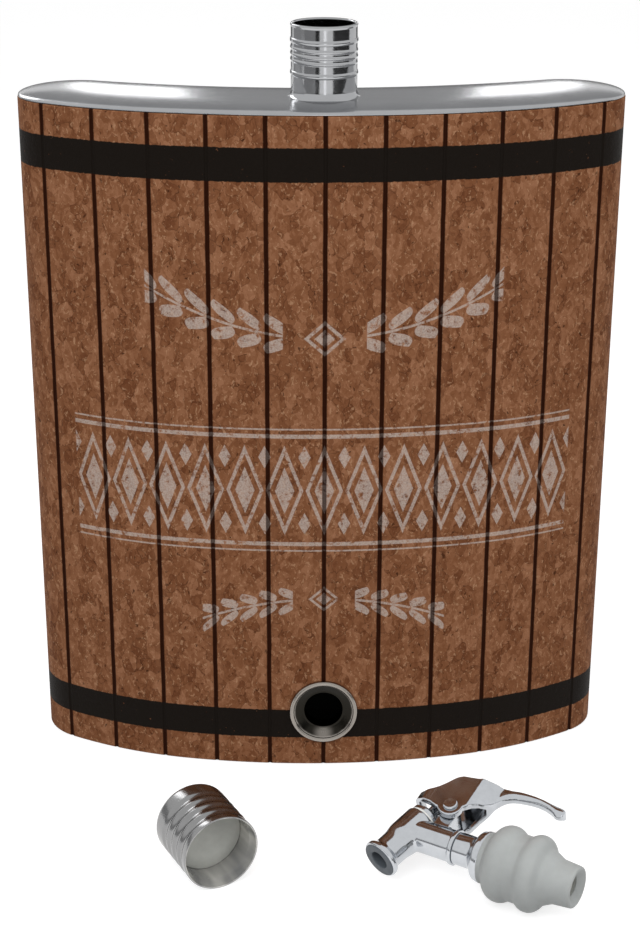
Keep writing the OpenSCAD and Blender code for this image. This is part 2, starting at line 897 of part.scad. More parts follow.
// Plan of the lever, round in front of the stem, broad at the hub and narrow at the tail
module lever_plan(side_t) {
    hub = lever_w / 2 - side_t;
    neck = tip_w / 2 - side_t / 3;
    slim = pivot_x + tail * (side_t > 0 ? 0.28 : 0.33);
    half = concat(
        [[hood_f, hub * 0.45], [hood_f + lever_w * 0.085, hub * 0.72]],
        [[hood_f + lever_w * 0.26, hub * 0.95], [hood_f + lever_w * 0.43, hub]],
        [[pivot_x + tail * 0.16, hub], [slim, neck]],
        side_t > 0 ? [] : [[pivot_x + tail * 1.2, neck]]
    );
    polygon(concat(half, [for (i = [len(half) - 1 : -1 : 0]) [half[i].x, -half[i].y]]));
}

module lever() {
    roof = pivot_z + lever_rise - web_t;
    finger = cheek_in - stem_r - clear;
    color("gainsboro")
        lay_tap() {
            difference() {
                intersection() {
                    translate([0, lever_w / 2, 0])
                        rotate([90, 0, 0])
                            linear_extrude(lever_w)
                                lever_outline();
                    translate([0, 0, -far / 2])
                        linear_extrude(far)
                            lever_plan(0);
                }
                intersection() {
                    translate([0, far / 2, 0])
                        rotate([90, 0, 0])
                            linear_extrude(far)
                                polygon([
                                    [hood_f + web_t, -far],
                                    [hood_f + web_t, far],
                                    [fork_x + button_r + 2 * clear, far],
                                    [pivot_x - cheek_r * 0.6, roof - web_t * 0.5],
                                    [pivot_x, roof],
                                    [pivot_x + tail * 0.32, roof + tail_rise * 0.15],
                                    [pivot_x + tail, roof + tail_rise],
                                    [pivot_x + tail, -far]
                                ]);
                    translate([0, 0, -far / 2])
                        linear_extrude(far)
                            lever_plan(cheek_t);
                }
                translate([pivot_x, far / 2, pivot_z])
                    rotate([90, 0, 0])
                        cylinder(r = pin_r + run_fit, h = far);
            }
            for (side = [-1, 1])
                translate([fork_x, side * (cheek_in - finger / 2 + fork_r / 4), fork_z])
                    rotate([90, 0, 0])
                        cylinder(r = fork_r, h = finger + fork_r / 2, center = true);
        }
}

front_wall();
left_wall();
right_wall();
back_wall();
base_plate();
top_plate();
neck_tube();
spigot_collar();
cork_wrap();
cap_shell();
cap_liner();
tap_body();
spout_sleeve();
inlet_tube();
bung();
bonnet();
bonnet_gasket();
stem_o_ring();
return_spring();
lever_pin();
valve_stem();
valve_cup();
stem_button();
lever();
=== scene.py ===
"""Finishes and fine forms of a cork-wrapped flask, its screw cap and its press tap."""

import math

import bmesh
import bpy
from bpy.props import FloatProperty, FloatVectorProperty, IntProperty, PointerProperty
from mathutils import Matrix, Vector


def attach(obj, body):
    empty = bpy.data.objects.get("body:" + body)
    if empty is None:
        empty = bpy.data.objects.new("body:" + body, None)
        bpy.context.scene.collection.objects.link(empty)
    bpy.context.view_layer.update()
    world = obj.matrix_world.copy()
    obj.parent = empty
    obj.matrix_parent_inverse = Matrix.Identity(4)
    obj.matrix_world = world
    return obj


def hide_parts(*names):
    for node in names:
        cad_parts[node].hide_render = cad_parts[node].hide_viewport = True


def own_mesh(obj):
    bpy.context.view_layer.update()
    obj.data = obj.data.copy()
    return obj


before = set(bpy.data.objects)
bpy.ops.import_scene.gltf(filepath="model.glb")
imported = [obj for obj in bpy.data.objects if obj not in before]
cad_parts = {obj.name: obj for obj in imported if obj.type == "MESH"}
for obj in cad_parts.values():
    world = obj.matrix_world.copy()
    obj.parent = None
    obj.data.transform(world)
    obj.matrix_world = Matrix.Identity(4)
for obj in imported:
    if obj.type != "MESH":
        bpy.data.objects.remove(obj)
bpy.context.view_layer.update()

bl_info = {
    "name": "Cork flask dispenser",
    "version": (1, 0, 0),
    "blender": (4, 5, 0),
    "location": "View3D > Sidebar > Flask",
    "description": "Models and finishes a cork-wrapped flask with its cap and its press tap",
    "category": "Object",
}

MM = 0.001
PER_M = 1000.0      # millimetres in a metre: patterns are laid out in millimetres
HAIR = 0.00005      # clearance kept between pieces that touch
SCRATCH_DEPTH = 0.0001

# Lamps: name, size, place, aim, power.
LAMPS = (("Key", 0.9, (-0.55, -0.95, 1.15), (0.0, -0.03, 0.12), 12.0),
         ("Fill", 0.8, (0.95, -0.7, 0.75), (0.0, -0.03, 0.12), 5.0),
         ("Top", 0.8, (0.05, 0.1, 1.3), (0.0, -0.03, 0.1), 5.0))

# Upright boards that only the metals mirror: name, width and height, place, turn in degrees, brightness.
BOARDS = (("Ceiling_board", (1.9, 0.95), (0.04, 1.2, 1.07), 0, 0.46),
          ("Back_board", (0.40, 0.26), (0.04, 1.2, 0.47), 0, 0.40),
          ("Low_board", (1.9, 0.36), (0.04, 1.2, 0.20), 0, 0.22),
          ("Back_glow_left", (0.11, 0.15), (-0.15, 1.18, 0.485), 0, 3.2),
          ("Back_glow_right", (0.11, 0.15), (0.235, 1.18, 0.485), 0, 2.9),
          ("Front_glow", (0.15, 0.34), (0.03, -1.05, 0.12), 0, 1.9),
          ("Window", (0.33, 0.56), (-0.57, 0.70, 0.76), 37, 4.4),
          ("Left_wing", (1.5, 0.4), (-1.26, 0.16, 0.16), 64, 0.42),
          ("Left_board", (1.02, 0.2), (-0.80, -0.728, 0.1), -60, 0.34),
          ("Left_strip", (0.28, 0.2), (-0.47, -1.06, 0.1), -24.5, 0.04),
          ("Right_board", (1.4, 0.2), (0.95, -0.50, 0.1), 62, 0.05))

FLOOR_SIZE, FLOOR_GLOW, SKY_LIGHT = 8.0, 0.72, 0.42
CAMERA_PLACE, CAMERA_LENS = (-0.0191, -0.64662, 0.36613), 74.03
CAMERA_PAN, CAMERA_DIP, CAMERA_ROLL = -1.608, 21.57, 0.178

# Fillets of the castings before the tap is laid down: middle, reach, rounds of smoothing.
BODY_FILLETS = (((0.0072, 0, -0.0066), 0.0058, 60), ((0.0066, 0, 0.0070), 0.0030, 14),
                ((0.0138, 0, 0.0062), 0.0026, 14))
LEVER_FILLETS = (((0.030, 0, 0.0285), 0.018, 26), ((0.0085, 0, 0.0190), 0.0135, 30))
CAST_VOXEL, BONNET_VOXEL = 0.00021, 0.00016
TAIL_START, TAIL_ROUNDING = 0.020, 0.6      # where the lever's tail begins, and how round its sides are


def length(label, text, mm):
    """A length of the object, given in millimetres."""
    return FloatProperty(name=label, description=text, default=mm * MM, unit="LENGTH", precision=5)


def angle(label, text, degrees):
    """An angle of the object, given in degrees."""
    return FloatProperty(name=label, description=text, default=math.radians(degrees), subtype="ANGLE")


def linear(*levels):
    """A colour read off as 0-255 levels, as linear values."""
    values = [c / 255.0 for c in levels]
    return tuple(c / 12.92 if c <= 0.04045 else ((c + 0.055) / 1.055) ** 2.4 for c in values) + (1.0,)


def colour(label, text, *levels):
    """A colour of the object, given as 0-255 levels."""
    return FloatVectorProperty(name=label, description=text, size=4, subtype="COLOR", min=0.0, max=1.0,
                               default=linear(*levels))


class FlaskSizes(bpy.types.PropertyGroup):
    """Sizes of the flask, its steel top, neck and tap hole"""

    width: length("Width", "Width of the flask over the cork", 210)
    height: length("Height", "Height of the cork-covered wall", 242)
    depth: length("Depth", "Thickness of the flask at its middle", 44)
    front_radius: length("Front radius", "Radius of the front's middle arc", 250)
    front_turn: angle("Front half angle", "Half angle of the front's middle arc", 11.5)
    side_radius: length("Side radius", "Radius of the arcs between the front and the ends", 140)
    end_radius: length("End radius", "Radius of the rounded ends", 20)
    cork: length("Cork", "Thickness of the cork", 1.6)
    cork_lift: length("Cork lift", "How far the cork stops above the table", 0.3)
    staves: IntProperty(name="Staves", description="Number of staves round the flask", default=24)
    line_width: length("Stave line", "Width of the line between two staves", 1.4)
    line_depth: length("Line depth", "Depth of the line between two staves", 0.3)
    hoop_width: length("Hoop", "Height of a painted hoop", 11.5)
    low_hoop: length("Lower hoop", "Height of the lower hoop's middle", 17.1)
    high_hoop: length("Upper hoop", "Height of the upper hoop's middle", 225.8)
    crown: length("Crown", "Height of the steel crown above the cork", 3)
    crown_width: length("Crown margin", "Width of the crown's curved margin", 17)
    sheet: length("Sheet", "Thickness of the steel sheet", 0.8)
    edge: length("Edge", "Height of the steel's straight edge", 0.5)
    edge_inset: length("Edge inset", "How far the steel edge stands back from the cork", 0.2)
    neck_radius: length("Neck radius", "Outer radius of the neck", 11.15)
    neck_wall: length("Neck wall", "Wall of the neck", 0.9)
    neck_height: length("Neck height", "Height of the lip above the cork's edge", 27.2)
    foot_radius: length("Foot radius", "Radius of the neck's foot", 13.25)
    foot_height: length("Foot height", "Height of the neck's flared foot", 2.4)
    lip_band: length("Lip band", "Plain band between the lip and the upper bead", 5.6)
    bead_rise: length("Bead rise", "Height of the lower bead above the foot", 5.4)
    ridge: length("Ridge", "Height of a bead or of the thread", 0.3)
    thread_pitch: length("Thread pitch", "Pitch of the thread", 2)
    hole_height: length("Hole height", "Height of the tap hole above the table", 22.4)
    collar_radius: length("Collar radius", "Outer radius of the tap hole's collar", 12.5)
    collar_lip: length("Collar lip", "Width of the collar's rounded lip", 1.7)
    collar_proud: length("Collar stand", "How far the collar stands in front of the cork", 1.4)
    cup_depth: length("Cup depth", "Depth of the dished mouth", 2.4)
    step_radius: length("Step radius", "Radius of the step round the hole", 8.7)
    hole_radius: length("Hole radius", "Radius of the tap hole", 7)
    hole_sleeve: length("Hole sleeve", "Length of the collar's sleeve inside the wall", 4)


class CapSizes(bpy.types.PropertyGroup):
    """Sizes of the screw cap and where it lies"""

    radius: length("Radius", "Radius over the cap's ribs", 13.35)
    height: length("Length", "Length of the cap", 25.6)
    wall: length("Wall", "Wall of the cap", 0.6)
    rib_depth: length("Rib depth", "Depth of the grooves between the ribs", 0.6)
    rib_pitch: length("Rib pitch", "Spacing of the ribs", 4.2)
    ribs: IntProperty(name="Ribs", description="Number of ribs", default=4)
    rounding: length("Rounding", "Rounding of the closed end", 2.6)
    liner_depth: length("Liner depth", "Depth of the liner's face behind the rim", 11)
    liner: length("Liner", "Thickness of the liner", 2)
    x: length("X", "Middle of the cap, to the right of the flask's middle", -41.6)
    y: length("Y", "Middle of the cap, behind the flask's middle", -90.1)
    turn: angle("Turn", "Angle of the open end from the front", 26)


class TapSizes(bpy.types.PropertyGroup):
    """Sizes of the press tap and where it lies"""

    lean: angle("Lean", "Lean of the barrel towards the bung", 14)
    lie: angle("Lie", "How far the lever is raised off the table", 17.0315)
    x: length("X", "First ring of the bung, to the right of the flask's middle", 57.5)
    y: length("Y", "First ring of the bung, behind the flask's middle", -109.4)
    turn: angle("Turn", "Angle of the bung's end from the right", 33.5)
    lip_radius: length("Spout lip", "Radius of the spout's lip", 6.8)
    spout_drop: length("Spout drop", "Depth of the spout's end below the tube", 15.3)
    spout_bore: length("Spout bore", "Bore of the spout", 4.6)
    sleeve_bore: length("Sleeve bore", "Bore of the grey sleeve in the spout", 3.3)
    sleeve_length: length("Sleeve length", "Length of the grey sleeve", 10)
    tube_radius: length("Tube", "Radius of the inlet tube", 5.5)
    tube_bore: length("Tube bore", "Bore of the inlet tube", 3.2)
    joint: length("Joint", "Distance of the tube's joint from the barrel", 18.2)
    flange: length("Flange", "Distance of the flange's back from the barrel", 29)
    flange_radius: length("Flange radius", "Radius of the flange", 8.7)
    tail_radius: length("Tail", "Radius of the tail inside the bung", 4.6)
    ring_radius: length("Bung rings", "Radius of the bung's rings", 12.85)
    first_ring: length("First ring", "Distance from the flange to the first ring", 7)
    ring_pitch: length("Ring pitch", "Spacing of the two rings", 10.6)
    ring_rounding: length("Ring rounding", "Rounding of the rings", 5.2)
    groove_radius: length("Groove", "Radius of the groove between the rings", 11.3)
    shank_radius: length("Shank", "Radius of the shank beside the rings", 7.5)
    shank_end: length("Shank end", "Radius of the shank at its end", 6.95)
    bung_length: length("Bung length", "Length of the bung", 32.8)
    stem_radius: length("Stem", "Radius of the valve stem", 1.9)
    stem_travel: length("Stem travel", "How far the lever lifts the stem", 2.26)
    button_radius: length("Button", "Radius of the stem's button", 3.2)
    button_height: length("Button height", "Height of the stem's button", 3.4)
    button_seat: length("Button seat", "Height of the button up the barrel's axis", 15.31)
    pivot_x: length("Pivot X", "Distance of the pivot behind the stem", 10.4)
    pivot_z: length("Pivot Z", "Height of the pivot above the tube's axis", 11)
    pin_radius: length("Pin", "Radius of the pivot pin", 1.55)
    pin_head: length("Pin head", "Radius of the pin's heads", 2.5)
    lever_width: length("Lever", "Width of the lever over its cheeks", 14)


class Finishes(bpy.types.PropertyGroup):
    """Colours of the materials"""

    cork_light: colour("Cork light", "Pale granules of the cork", 148, 103, 75)
    cork_mid: colour("Cork", "Most of the cork", 123, 79, 52)
    cork_dark: colour("Cork dark", "Dark granules of the cork", 101, 60, 37)
    cork_chip: colour("Cork chips", "Palest chips of the cork", 178, 138, 106)
    stave_line: colour("Stave line", "Burnt lines between the staves", 38, 14, 4)
    hoop: colour("Hoop", "Painted hoops", 20, 15, 11)
    ink: colour("Ink", "Pale printed ornament", 186, 171, 161)
    steel: colour("Steel", "Polished steel of the flask", 168, 169, 171)
    inside: colour("Inside", "Unpolished steel of the walls and the base", 84, 83, 81)
    collar: colour("Collar steel", "Lip of the tap hole's collar", 150, 144, 137)
    # Painted shade: the dark colour that stands in for shade and dark reflection in the collar's dish.
    dish: colour("Collar dish", "Shaded dish of the tap hole's collar", 38, 36, 32)
    cap: colour("Cap steel", "Polished steel of the cap", 146, 146, 146)
    cap_inside: colour("Cap inside", "Brighter steel inside the cap", 226, 224, 218)
    chrome: colour("Chrome", "Bright plating of the tap", 194, 197, 201)
    silicone: colour("Silicone", "Soft bung", 165, 168, 167)
    sleeve: colour("Sleeve", "Grey sleeve in the spout", 86, 92, 98)
    liner: colour("Liner", "Liner of the cap", 186, 187, 181)
    seal: colour("Seal", "Black stem seal", 24, 24, 25)
    valve: colour("Valve", "White valve cup", 224, 224, 219)
    floor: colour("Floor", "Floor under the flask", 182, 182, 182)


class Plan:
    """Plan of the flask: tangent arcs for the front, the sides, the ends and the hollow back."""

    def __init__(self, s):
        half = s.depth / 2
        self.front_r, self.side_r, self.end_r = s.front_radius, s.side_radius, s.end_radius
        self.front_turn = s.front_turn
        self.front_c = Vector((0, self.front_r - half))
        self.side_c = self.front_c + (self.front_r - self.side_r) * self.heading(self.front_turn)
        end_x = s.width / 2 - self.end_r
        self.side_turn = math.asin((end_x - self.side_c.x) / (self.side_r - self.end_r))
        self.end_c = self.side_c + (self.side_r - self.end_r) * self.heading(self.side_turn)
        hollow = half - self.end_c.y
        self.back_r = (end_x ** 2 + hollow ** 2 - self.end_r ** 2) / (2 * (self.end_r - hollow))
        self.back_c = Vector((0, half + self.back_r))
        self.back_turn = math.asin(end_x / (self.back_r + self.end_r))
        self.end_turn = math.pi - self.side_turn + self.back_turn
        self.stops = [self.front_r * self.front_turn]
        self.stops.append(self.stops[0] + self.side_r * (self.side_turn - self.front_turn))
        self.stops.append(self.stops[1] + self.end_r * self.end_turn)
        self.half = self.stops[2] + self.back_r * self.back_turn

    @staticmethod
    def heading(turn):
        return Vector((math.sin(turn), -math.cos(turn)))

    def at(self, along, inset=0.0):
        """Point at a length along the plan from the front's middle, left lengths negative."""
        a = abs(along)
        if a < self.stops[0]:
            p = self.front_c + (self.front_r - inset) * self.heading(a / self.front_r)
        elif a < self.stops[1]:
            turn = self.front_turn + (a - self.stops[0]) / self.side_r
            p = self.side_c + (self.side_r - inset) * self.heading(turn)
        elif a < self.stops[2]:
            turn = self.side_turn + (a - self.stops[1]) / self.end_r
            p = self.end_c + (self.end_r - inset) * self.heading(turn)
        else:
            p = self.back_c + (self.back_r + inset) * self.heading((self.half - a) / self.back_r)
        return Vector((-p.x if along < 0 else p.x, p.y))

    def along(self, x, y):
        """Length along the plan nearest to a point, without its sign."""
        p = Vector((abs(x), y))
        found = []
        for centre, radius, first, last, start in (
                (self.front_c, self.front_r, 0.0, self.front_turn, 0.0),
                (self.side_c, self.side_r, self.front_turn, self.side_turn, self.stops[0]),
                (self.end_c, self.end_r, self.side_turn, self.side_turn + self.end_turn, self.stops[1])):
            d = p - centre
            turn = math.atan2(d.x, -d.y) % math.tau
            if turn > math.tau - 0.2:
                turn -= math.tau
            if first - 0.02 <= turn <= last + 0.02:
                found.append((abs(d.length - radius), start + (turn - first) * radius))
        d = p - self.back_c
        turn = math.atan2(d.x, -d.y)
        if turn <= self.back_turn + 0.02:
            found.append((abs(d.length - self.back_r), self.half - turn * self.back_r))
        return min(found)[1]


def begin():
    """Leaves edit mode and clears the selection."""
    if bpy.context.object and bpy.context.object.mode != "OBJECT":
        bpy.ops.object.mode_set(mode="OBJECT")
    bpy.ops.object.select_all(action="DESELECT")


def name_piece(piece, name):
    piece.name = name
    piece.data.name = name
    return piece


def take_up(piece):
    """Selects one piece and makes it the active one."""
    begin()
    piece.select_set(True)
    bpy.context.view_layer.objects.active = piece


def close_up(piece, merge=2e-6):
    """Merges doubled points and turns the faces outwards."""
    take_up(piece)
    bpy.ops.object.mode_set(mode="EDIT")
    bpy.ops.mesh.select_all(action="SELECT")
    bpy.ops.mesh.remove_doubles(threshold=merge)
    bpy.ops.mesh.normals_make_consistent(inside=False)
    bpy.ops.object.mode_set(mode="OBJECT")


def shade(piece, degrees=35.0):
    take_up(piece)
    bpy.ops.object.shade_smooth_by_angle(angle=math.radians(degrees))


def turned(name, profile, place, segments=96, degrees=35.0):
    """A piece turned about Z from a profile of (radius, height), then put in its place."""
    begin()
    bpy.ops.mesh.primitive_plane_add(size=0.01, location=(0, 0, 0))
    piece = name_piece(bpy.context.object, name)
    bpy.ops.object.mode_set(mode="EDIT")
    bpy.ops.mesh.select_all(action="SELECT")
    bpy.ops.mesh.merge(type="CENTER")
    bpy.ops.transform.translate(value=(profile[0][0], 0, profile[0][1]))
    for (ra, za), (rb, zb) in zip(profile, profile[1:]):
        bpy.ops.mesh.extrude_region_move(TRANSFORM_OT_translate={"value": (rb - ra, 0, zb - za)})
    bpy.ops.mesh.select_all(action="SELECT")
    bpy.ops.mesh.spin(steps=segments, angle=math.tau, center=(0, 0, 0), axis=(0, 0, 1))
    bpy.ops.object.mode_set(mode="OBJECT")
    close_up(piece)
    piece.data.transform(place)
    shade(piece, degrees)
    return piece


def ringed(name, rings):
    """A skin drawn out of one ring of points through the next ones."""
    begin()
    bpy.ops.mesh.primitive_circle_add(vertices=len(rings[0]), radius=0.1, location=(0, 0, 0))
    piece = name_piece(bpy.context.object, name)
    for v, p in zip(piece.data.vertices, rings[0]):
        v.co = p
    bpy.ops.object.mode_set(mode="EDIT")
    bpy.ops.mesh.select_all(action="SELECT")
    for before, after in zip(rings, rings[1:]):
        bpy.ops.mesh.extrude_region_move(TRANSFORM_OT_translate={"value": (0, 0, 0)})
        bm = bmesh.from_edit_mesh(piece.data)
        places = {tuple(round(c, 7) for c in p): i for i, p in enumerate(before)}
        for v in bm.verts:
            if v.select:
                key = tuple(round(c, 7) for c in v.co)
                if key not in places:
                    key = min(places, key=lambda k: (Vector(k) - v.co).length)
                v.co = after[places[key]]
        bmesh.update_edit_mesh(piece.data)
    return piece


def merged_copy(name, node):
    """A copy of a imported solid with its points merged."""
    begin()
    piece = bpy.data.objects.new(name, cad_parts[node].data.copy())
    piece.data.name = name
    bpy.context.scene.collection.objects.link(piece)
    close_up(piece, 1e-6)
    return piece


def apply_modifier(piece, kind, **settings):
    take_up(piece)
    mod = piece.modifiers.new(kind.title(), kind)
    for key, value in settings.items():
        setattr(mod, key, value)
    bpy.ops.object.modifier_apply(modifier=mod.name)


def cast(name, node, voxel, rounds, soft_spots=()):
    """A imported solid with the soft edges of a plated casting, and fillets at its inner corners."""
    piece = merged_copy(name, node)
    apply_modifier(piece, "REMESH", mode="VOXEL", voxel_size=voxel, use_smooth_shade=True)
    for spot, reach, turns in soft_spots:
        group = piece.vertex_groups.new(name="fillet")
        for v in piece.data.vertices:
            far = (v.co - spot).length / reach
            if far < 1.0:
                group.add([v.index], 1.0 - far * far, "REPLACE")
        apply_modifier(piece, "SMOOTH", factor=0.5, iterations=turns, vertex_group="fillet")
        piece.vertex_groups.clear()
    apply_modifier(piece, "SMOOTH", factor=0.5, iterations=rounds)
    take_up(piece)
    bpy.ops.object.shade_smooth()
    return piece


def settle(piece, body, slot, finish, *nodes):
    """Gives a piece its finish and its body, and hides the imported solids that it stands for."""
    piece.data.materials.clear()
    piece.data.materials.append(finish)
    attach(piece, body)
    if nodes:
        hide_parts(*nodes)


def dress(finish, *nodes):
    """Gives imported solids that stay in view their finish."""
    for node in nodes:
        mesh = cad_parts[node].data
        mesh.materials.clear()
        mesh.materials.append(finish)


def arc(cx, cz, radius, first, last, steps):
    """Points (radius, height) of a profile's arc, angles in degrees from outwards."""
    turns = [math.radians(first + (last - first) * i / steps) for i in range(steps + 1)]
    return [(cx + radius * math.cos(t), cz + radius * math.sin(t)) for t in turns]


class Wires:
    """Short hand for laying out a node tree."""

    def __init__(self, tree):
        self.tree = tree

    def put(self, source, target):
        """Joins an output to an input."""
        self.tree.links.new(source, target)

    def node(self, kind, links=None, values=None, **settings):
        n = self.tree.nodes.new(kind)
        for key, value in settings.items():
            setattr(n, key, value)
        for key, value in (values or {}).items():
            n.inputs[key].default_value = value
        for key, socket in (links or {}).items():
            self.put(socket, n.inputs[key])
        return n

    def math(self, operation, *terms, clamp=False):
        n = self.tree.nodes.new("ShaderNodeMath")
        n.operation, n.use_clamp = operation, clamp
        for i, term in enumerate(terms):
            if isinstance(term, (int, float)):
                n.inputs[i].default_value = term
            else:
                self.put(term, n.inputs[i])
        return n.outputs[0]

    def add(self, a, b):
        return self.math("ADD", a, b)

    def sub(self, a, b):
        return self.math("SUBTRACT", a, b)

    def mul(self, a, b):
        return self.math("MULTIPLY", a, b)

    def size(self, a):
        return self.math("ABSOLUTE", a)

    def most(self, *terms):
        found = terms[0]
        for term in terms[1:]:
            found = self.math("MAXIMUM", found, term)
        return found

    def least(self, *terms):
        found = terms[0]
        for term in terms[1:]:
            found = self.math("MINIMUM", found, term)
        return found

    def fall(self, value, edge, soft):
        """1 where a value is under an edge, falling to 0 over a soft margin."""
        n = self.node("ShaderNodeMapRange", interpolation_type="SMOOTHSTEP",
                      values={"From Min": edge - soft / 2, "From Max": edge + soft / 2,
                              "To Min": 1.0, "To Max": 0.0})
        self.put(value, n.inputs["Value"])
        return n.outputs["Result"]

    def span(self, value, low, high, to_low=0.0, to_high=1.0):
        """A value carried over in proportion from one range to another."""
        n = self.node("ShaderNodeMapRange", values={"From Min": low, "From Max": high,
                                                    "To Min": to_low, "To Max": to_high})
        self.put(value, n.inputs["Value"])
        return n.outputs["Result"]

    def mix(self, factor, a, b, blend="MIX"):
        n = self.node("ShaderNodeMix", data_type="RGBA", blend_type=blend)
        for socket, term in ((n.inputs[0], factor), (n.inputs[6], a), (n.inputs[7], b)):
            if hasattr(term, "links"):
                self.put(term, socket)
            else:
                socket.default_value = term
        return n.outputs[2]

    def grey(self, value):
        """A grey of one level."""
        n = self.tree.nodes.new("ShaderNodeCombineColor")
        for i in range(3):
            self.put(value, n.inputs[i])
        return n.outputs[0]

    def where(self):
        """Places on a piece."""
        return self.node("ShaderNodeTexCoord").outputs["Object"]

    def laid_along(self, place):
        """Places on a piece in the turned frame of a matrix."""
        n = self.node("ShaderNodeMapping", vector_type="TEXTURE", links={0: self.where()})
        n.inputs["Location"].default_value = place.to_translation()
        n.inputs["Rotation"].default_value = place.to_euler()
        return n.outputs[0]

    def hypot(self, a, b):
        return self.math("SQRT", self.add(self.mul(a, a), self.mul(b, b)))

    def dent(self, shader, height, strength, distance):
        """Gives a shader fine relief."""
        bump = self.node("ShaderNodeBump", links={"Height": height},
                         values={"Strength": strength, "Distance": distance})
        self.put(bump.outputs[0], shader.inputs["Normal"])

    def noise(self, vector, scale, detail=2.0, roughness=0.5):
        n = self.node("ShaderNodeTexNoise", links={"Vector": vector},
                      values={"Scale": scale, "Detail": detail, "Roughness": roughness})
        return n.outputs["Fac"]


def new_group(name, inputs, outputs):
    """An empty shader node group with its named sockets."""
    tree = bpy.data.node_groups.new(name, "ShaderNodeTree")
    for label, kind, default in inputs:
        socket = tree.interface.new_socket(name=label, in_out="INPUT", socket_type=kind)
        if default is not None:
            socket.default_value = default
    for label, kind in outputs:
        tree.interface.new_socket(name=label, in_out="OUTPUT", socket_type=kind)
    w = Wires(tree)
    return w, w.node("NodeGroupInput").outputs, w.node("NodeGroupOutput").inputs


def polish_group():
    """Cloudy polish and fine handling scratches of a metal."""
    found = bpy.data.node_groups.get("Polish marks")
    if found:
        return found
    w, given, out = new_group(
        "Polish marks",
        [("Vector", "NodeSocketVector", None), ("Roughness", "NodeSocketFloat", 0.15),
         ("Spread", "NodeSocketFloat", 0.08), ("Cloud", "NodeSocketFloat", 120.0)],
        [("Roughness", "NodeSocketFloat"), ("Height", "NodeSocketFloat"), ("Tone", "NodeSocketFloat")])
    cloud = w.node("ShaderNodeTexNoise", links={"Vector": given["Vector"], "Scale": given["Cloud"]},
                   values={"Detail": 4.0, "Roughness": 0.6}).outputs["Fac"]
    stretch = w.node("ShaderNodeMapping", links={"Vector": given["Vector"]},
                     values={"Scale": (1.0, 1.0, 0.08), "Rotation": (0.3, 0.2, 0.0)}).outputs[0]
    hair = w.noise(stretch, 5200.0, 2.0, 0.7)
    scratch = w.fall(w.size(w.sub(hair, 0.5)), 0.018, 0.02)
    lift = w.mul(w.sub(cloud, 0.5), given["Spread"])
    rough = w.add(given["Roughness"], w.mul(lift, 2.0))
    w.put(w.math("ADD", rough, w.mul(scratch, 0.05), clamp=True), out["Roughness"])
    w.put(w.add(w.mul(cloud, 0.3), w.mul(scratch, -0.25)), out["Height"])
    w.put(w.span(cloud, 0.3, 0.7, 0.9, 1.0), out["Tone"])
    return w.tree


def mottle_group():
    """Faint cloudiness and dust of a moulded soft or plastic piece."""
    found = bpy.data.node_groups.get("Moulded mottle")
    if found:
        return found
    w, given, out = new_group(
        "Moulded mottle",
        [("Vector", "NodeSocketVector", None), ("Color", "NodeSocketColor", (0.8, 0.8, 0.8, 1.0)),
         ("Shade", "NodeSocketFloat", 0.9), ("Scale", "NodeSocketFloat", 150.0)],
        [("Color", "NodeSocketColor"), ("Roughness", "NodeSocketFloat"), ("Height", "NodeSocketFloat")])
    cloud = w.node("ShaderNodeTexNoise", links={"Vector": given["Vector"], "Scale": given["Scale"]},
                   values={"Detail": 5.0, "Roughness": 0.62}).outputs["Fac"]
    grain = w.noise(given["Vector"], 2600.0, 3.0, 0.6)
    depth = w.mul(w.span(cloud, 0.35, 0.7), w.sub(1.0, given["Shade"]))
    w.put(w.mix(1.0, given["Color"], w.grey(w.sub(1.0, depth)), "MULTIPLY"), out["Color"])
    w.put(w.span(cloud, 0.3, 0.7, 0.48, 0.64), out["Roughness"])
    w.put(w.add(w.mul(cloud, 0.5), w.mul(grain, 0.5)), out["Height"])
    return w.tree


def new_finish(name):
    """A new material, with its node tree, its shader and the places on its piece."""
    finish = bpy.data.materials.new(name)
    finish.use_nodes = True
    w = Wires(finish.node_tree)
    return finish, w, finish.node_tree.nodes["Principled BSDF"], w.where()


def taken_further(finish):
    """The node tree of a finish to add to, its shader and what colours it so far."""
    shader = finish.node_tree.nodes["Principled BSDF"]
    return Wires(finish.node_tree), shader, shader.inputs["Base Color"].links[0].from_socket


def metal(name, tint, rough, spread, cloud, bump):
    """A bright metal with cloudy polish."""
    found = bpy.data.materials.get(name)
    if found:
        return found
    finish, w, shader, place = new_finish(name)
    marks = w.node("ShaderNodeGroup", node_tree=polish_group(), links={"Vector": place},
                   values={"Roughness": rough, "Spread": spread, "Cloud": cloud})
    tone = w.grey(marks.outputs["Tone"])
    w.put(w.mix(1.0, tuple(tint), tone, "MULTIPLY"), shader.inputs["Base Color"])
    w.put(marks.outputs["Roughness"], shader.inputs["Roughness"])
    w.dent(shader, marks.outputs["Height"], bump, SCRATCH_DEPTH)
    shader.inputs["Metallic"].default_value = 1.0
    return finish


def moulded(name, tint, shade_of, scale, bump, subsurface=0.0):
    """A moulded soft or plastic piece."""
    found = bpy.data.materials.get(name)
    if found:
        return found
    finish, w, shader, place = new_finish(name)
    look = w.node("ShaderNodeGroup", node_tree=mottle_group(), links={"Vector": place},
                  values={"Color": tuple(tint), "Shade": shade_of, "Scale": scale})
    w.put(look.outputs["Color"], shader.inputs["Base Color"])
    w.put(look.outputs["Roughness"], shader.inputs["Roughness"])
    w.dent(shader, look.outputs["Height"], bump, SCRATCH_DEPTH)
    if subsurface:
        shader.inputs["Subsurface Weight"].default_value = subsurface
        shader.inputs["Subsurface Radius"].default_value = (0.004, 0.0035, 0.003)
        shader.inputs["Subsurface Scale"].default_value = 0.4
    return finish


def steel_finish(context):
    tint = context.scene.flask_finishes.steel
    return metal("Polished steel", tint, rough=0.16, spread=0.10, cloud=60.0, bump=0.06)


def chrome_finish(context, name="Bright plating"):
    tint = context.scene.flask_finishes.chrome
    return metal(name, tint, rough=0.09, spread=0.05, cloud=240.0, bump=0.05)


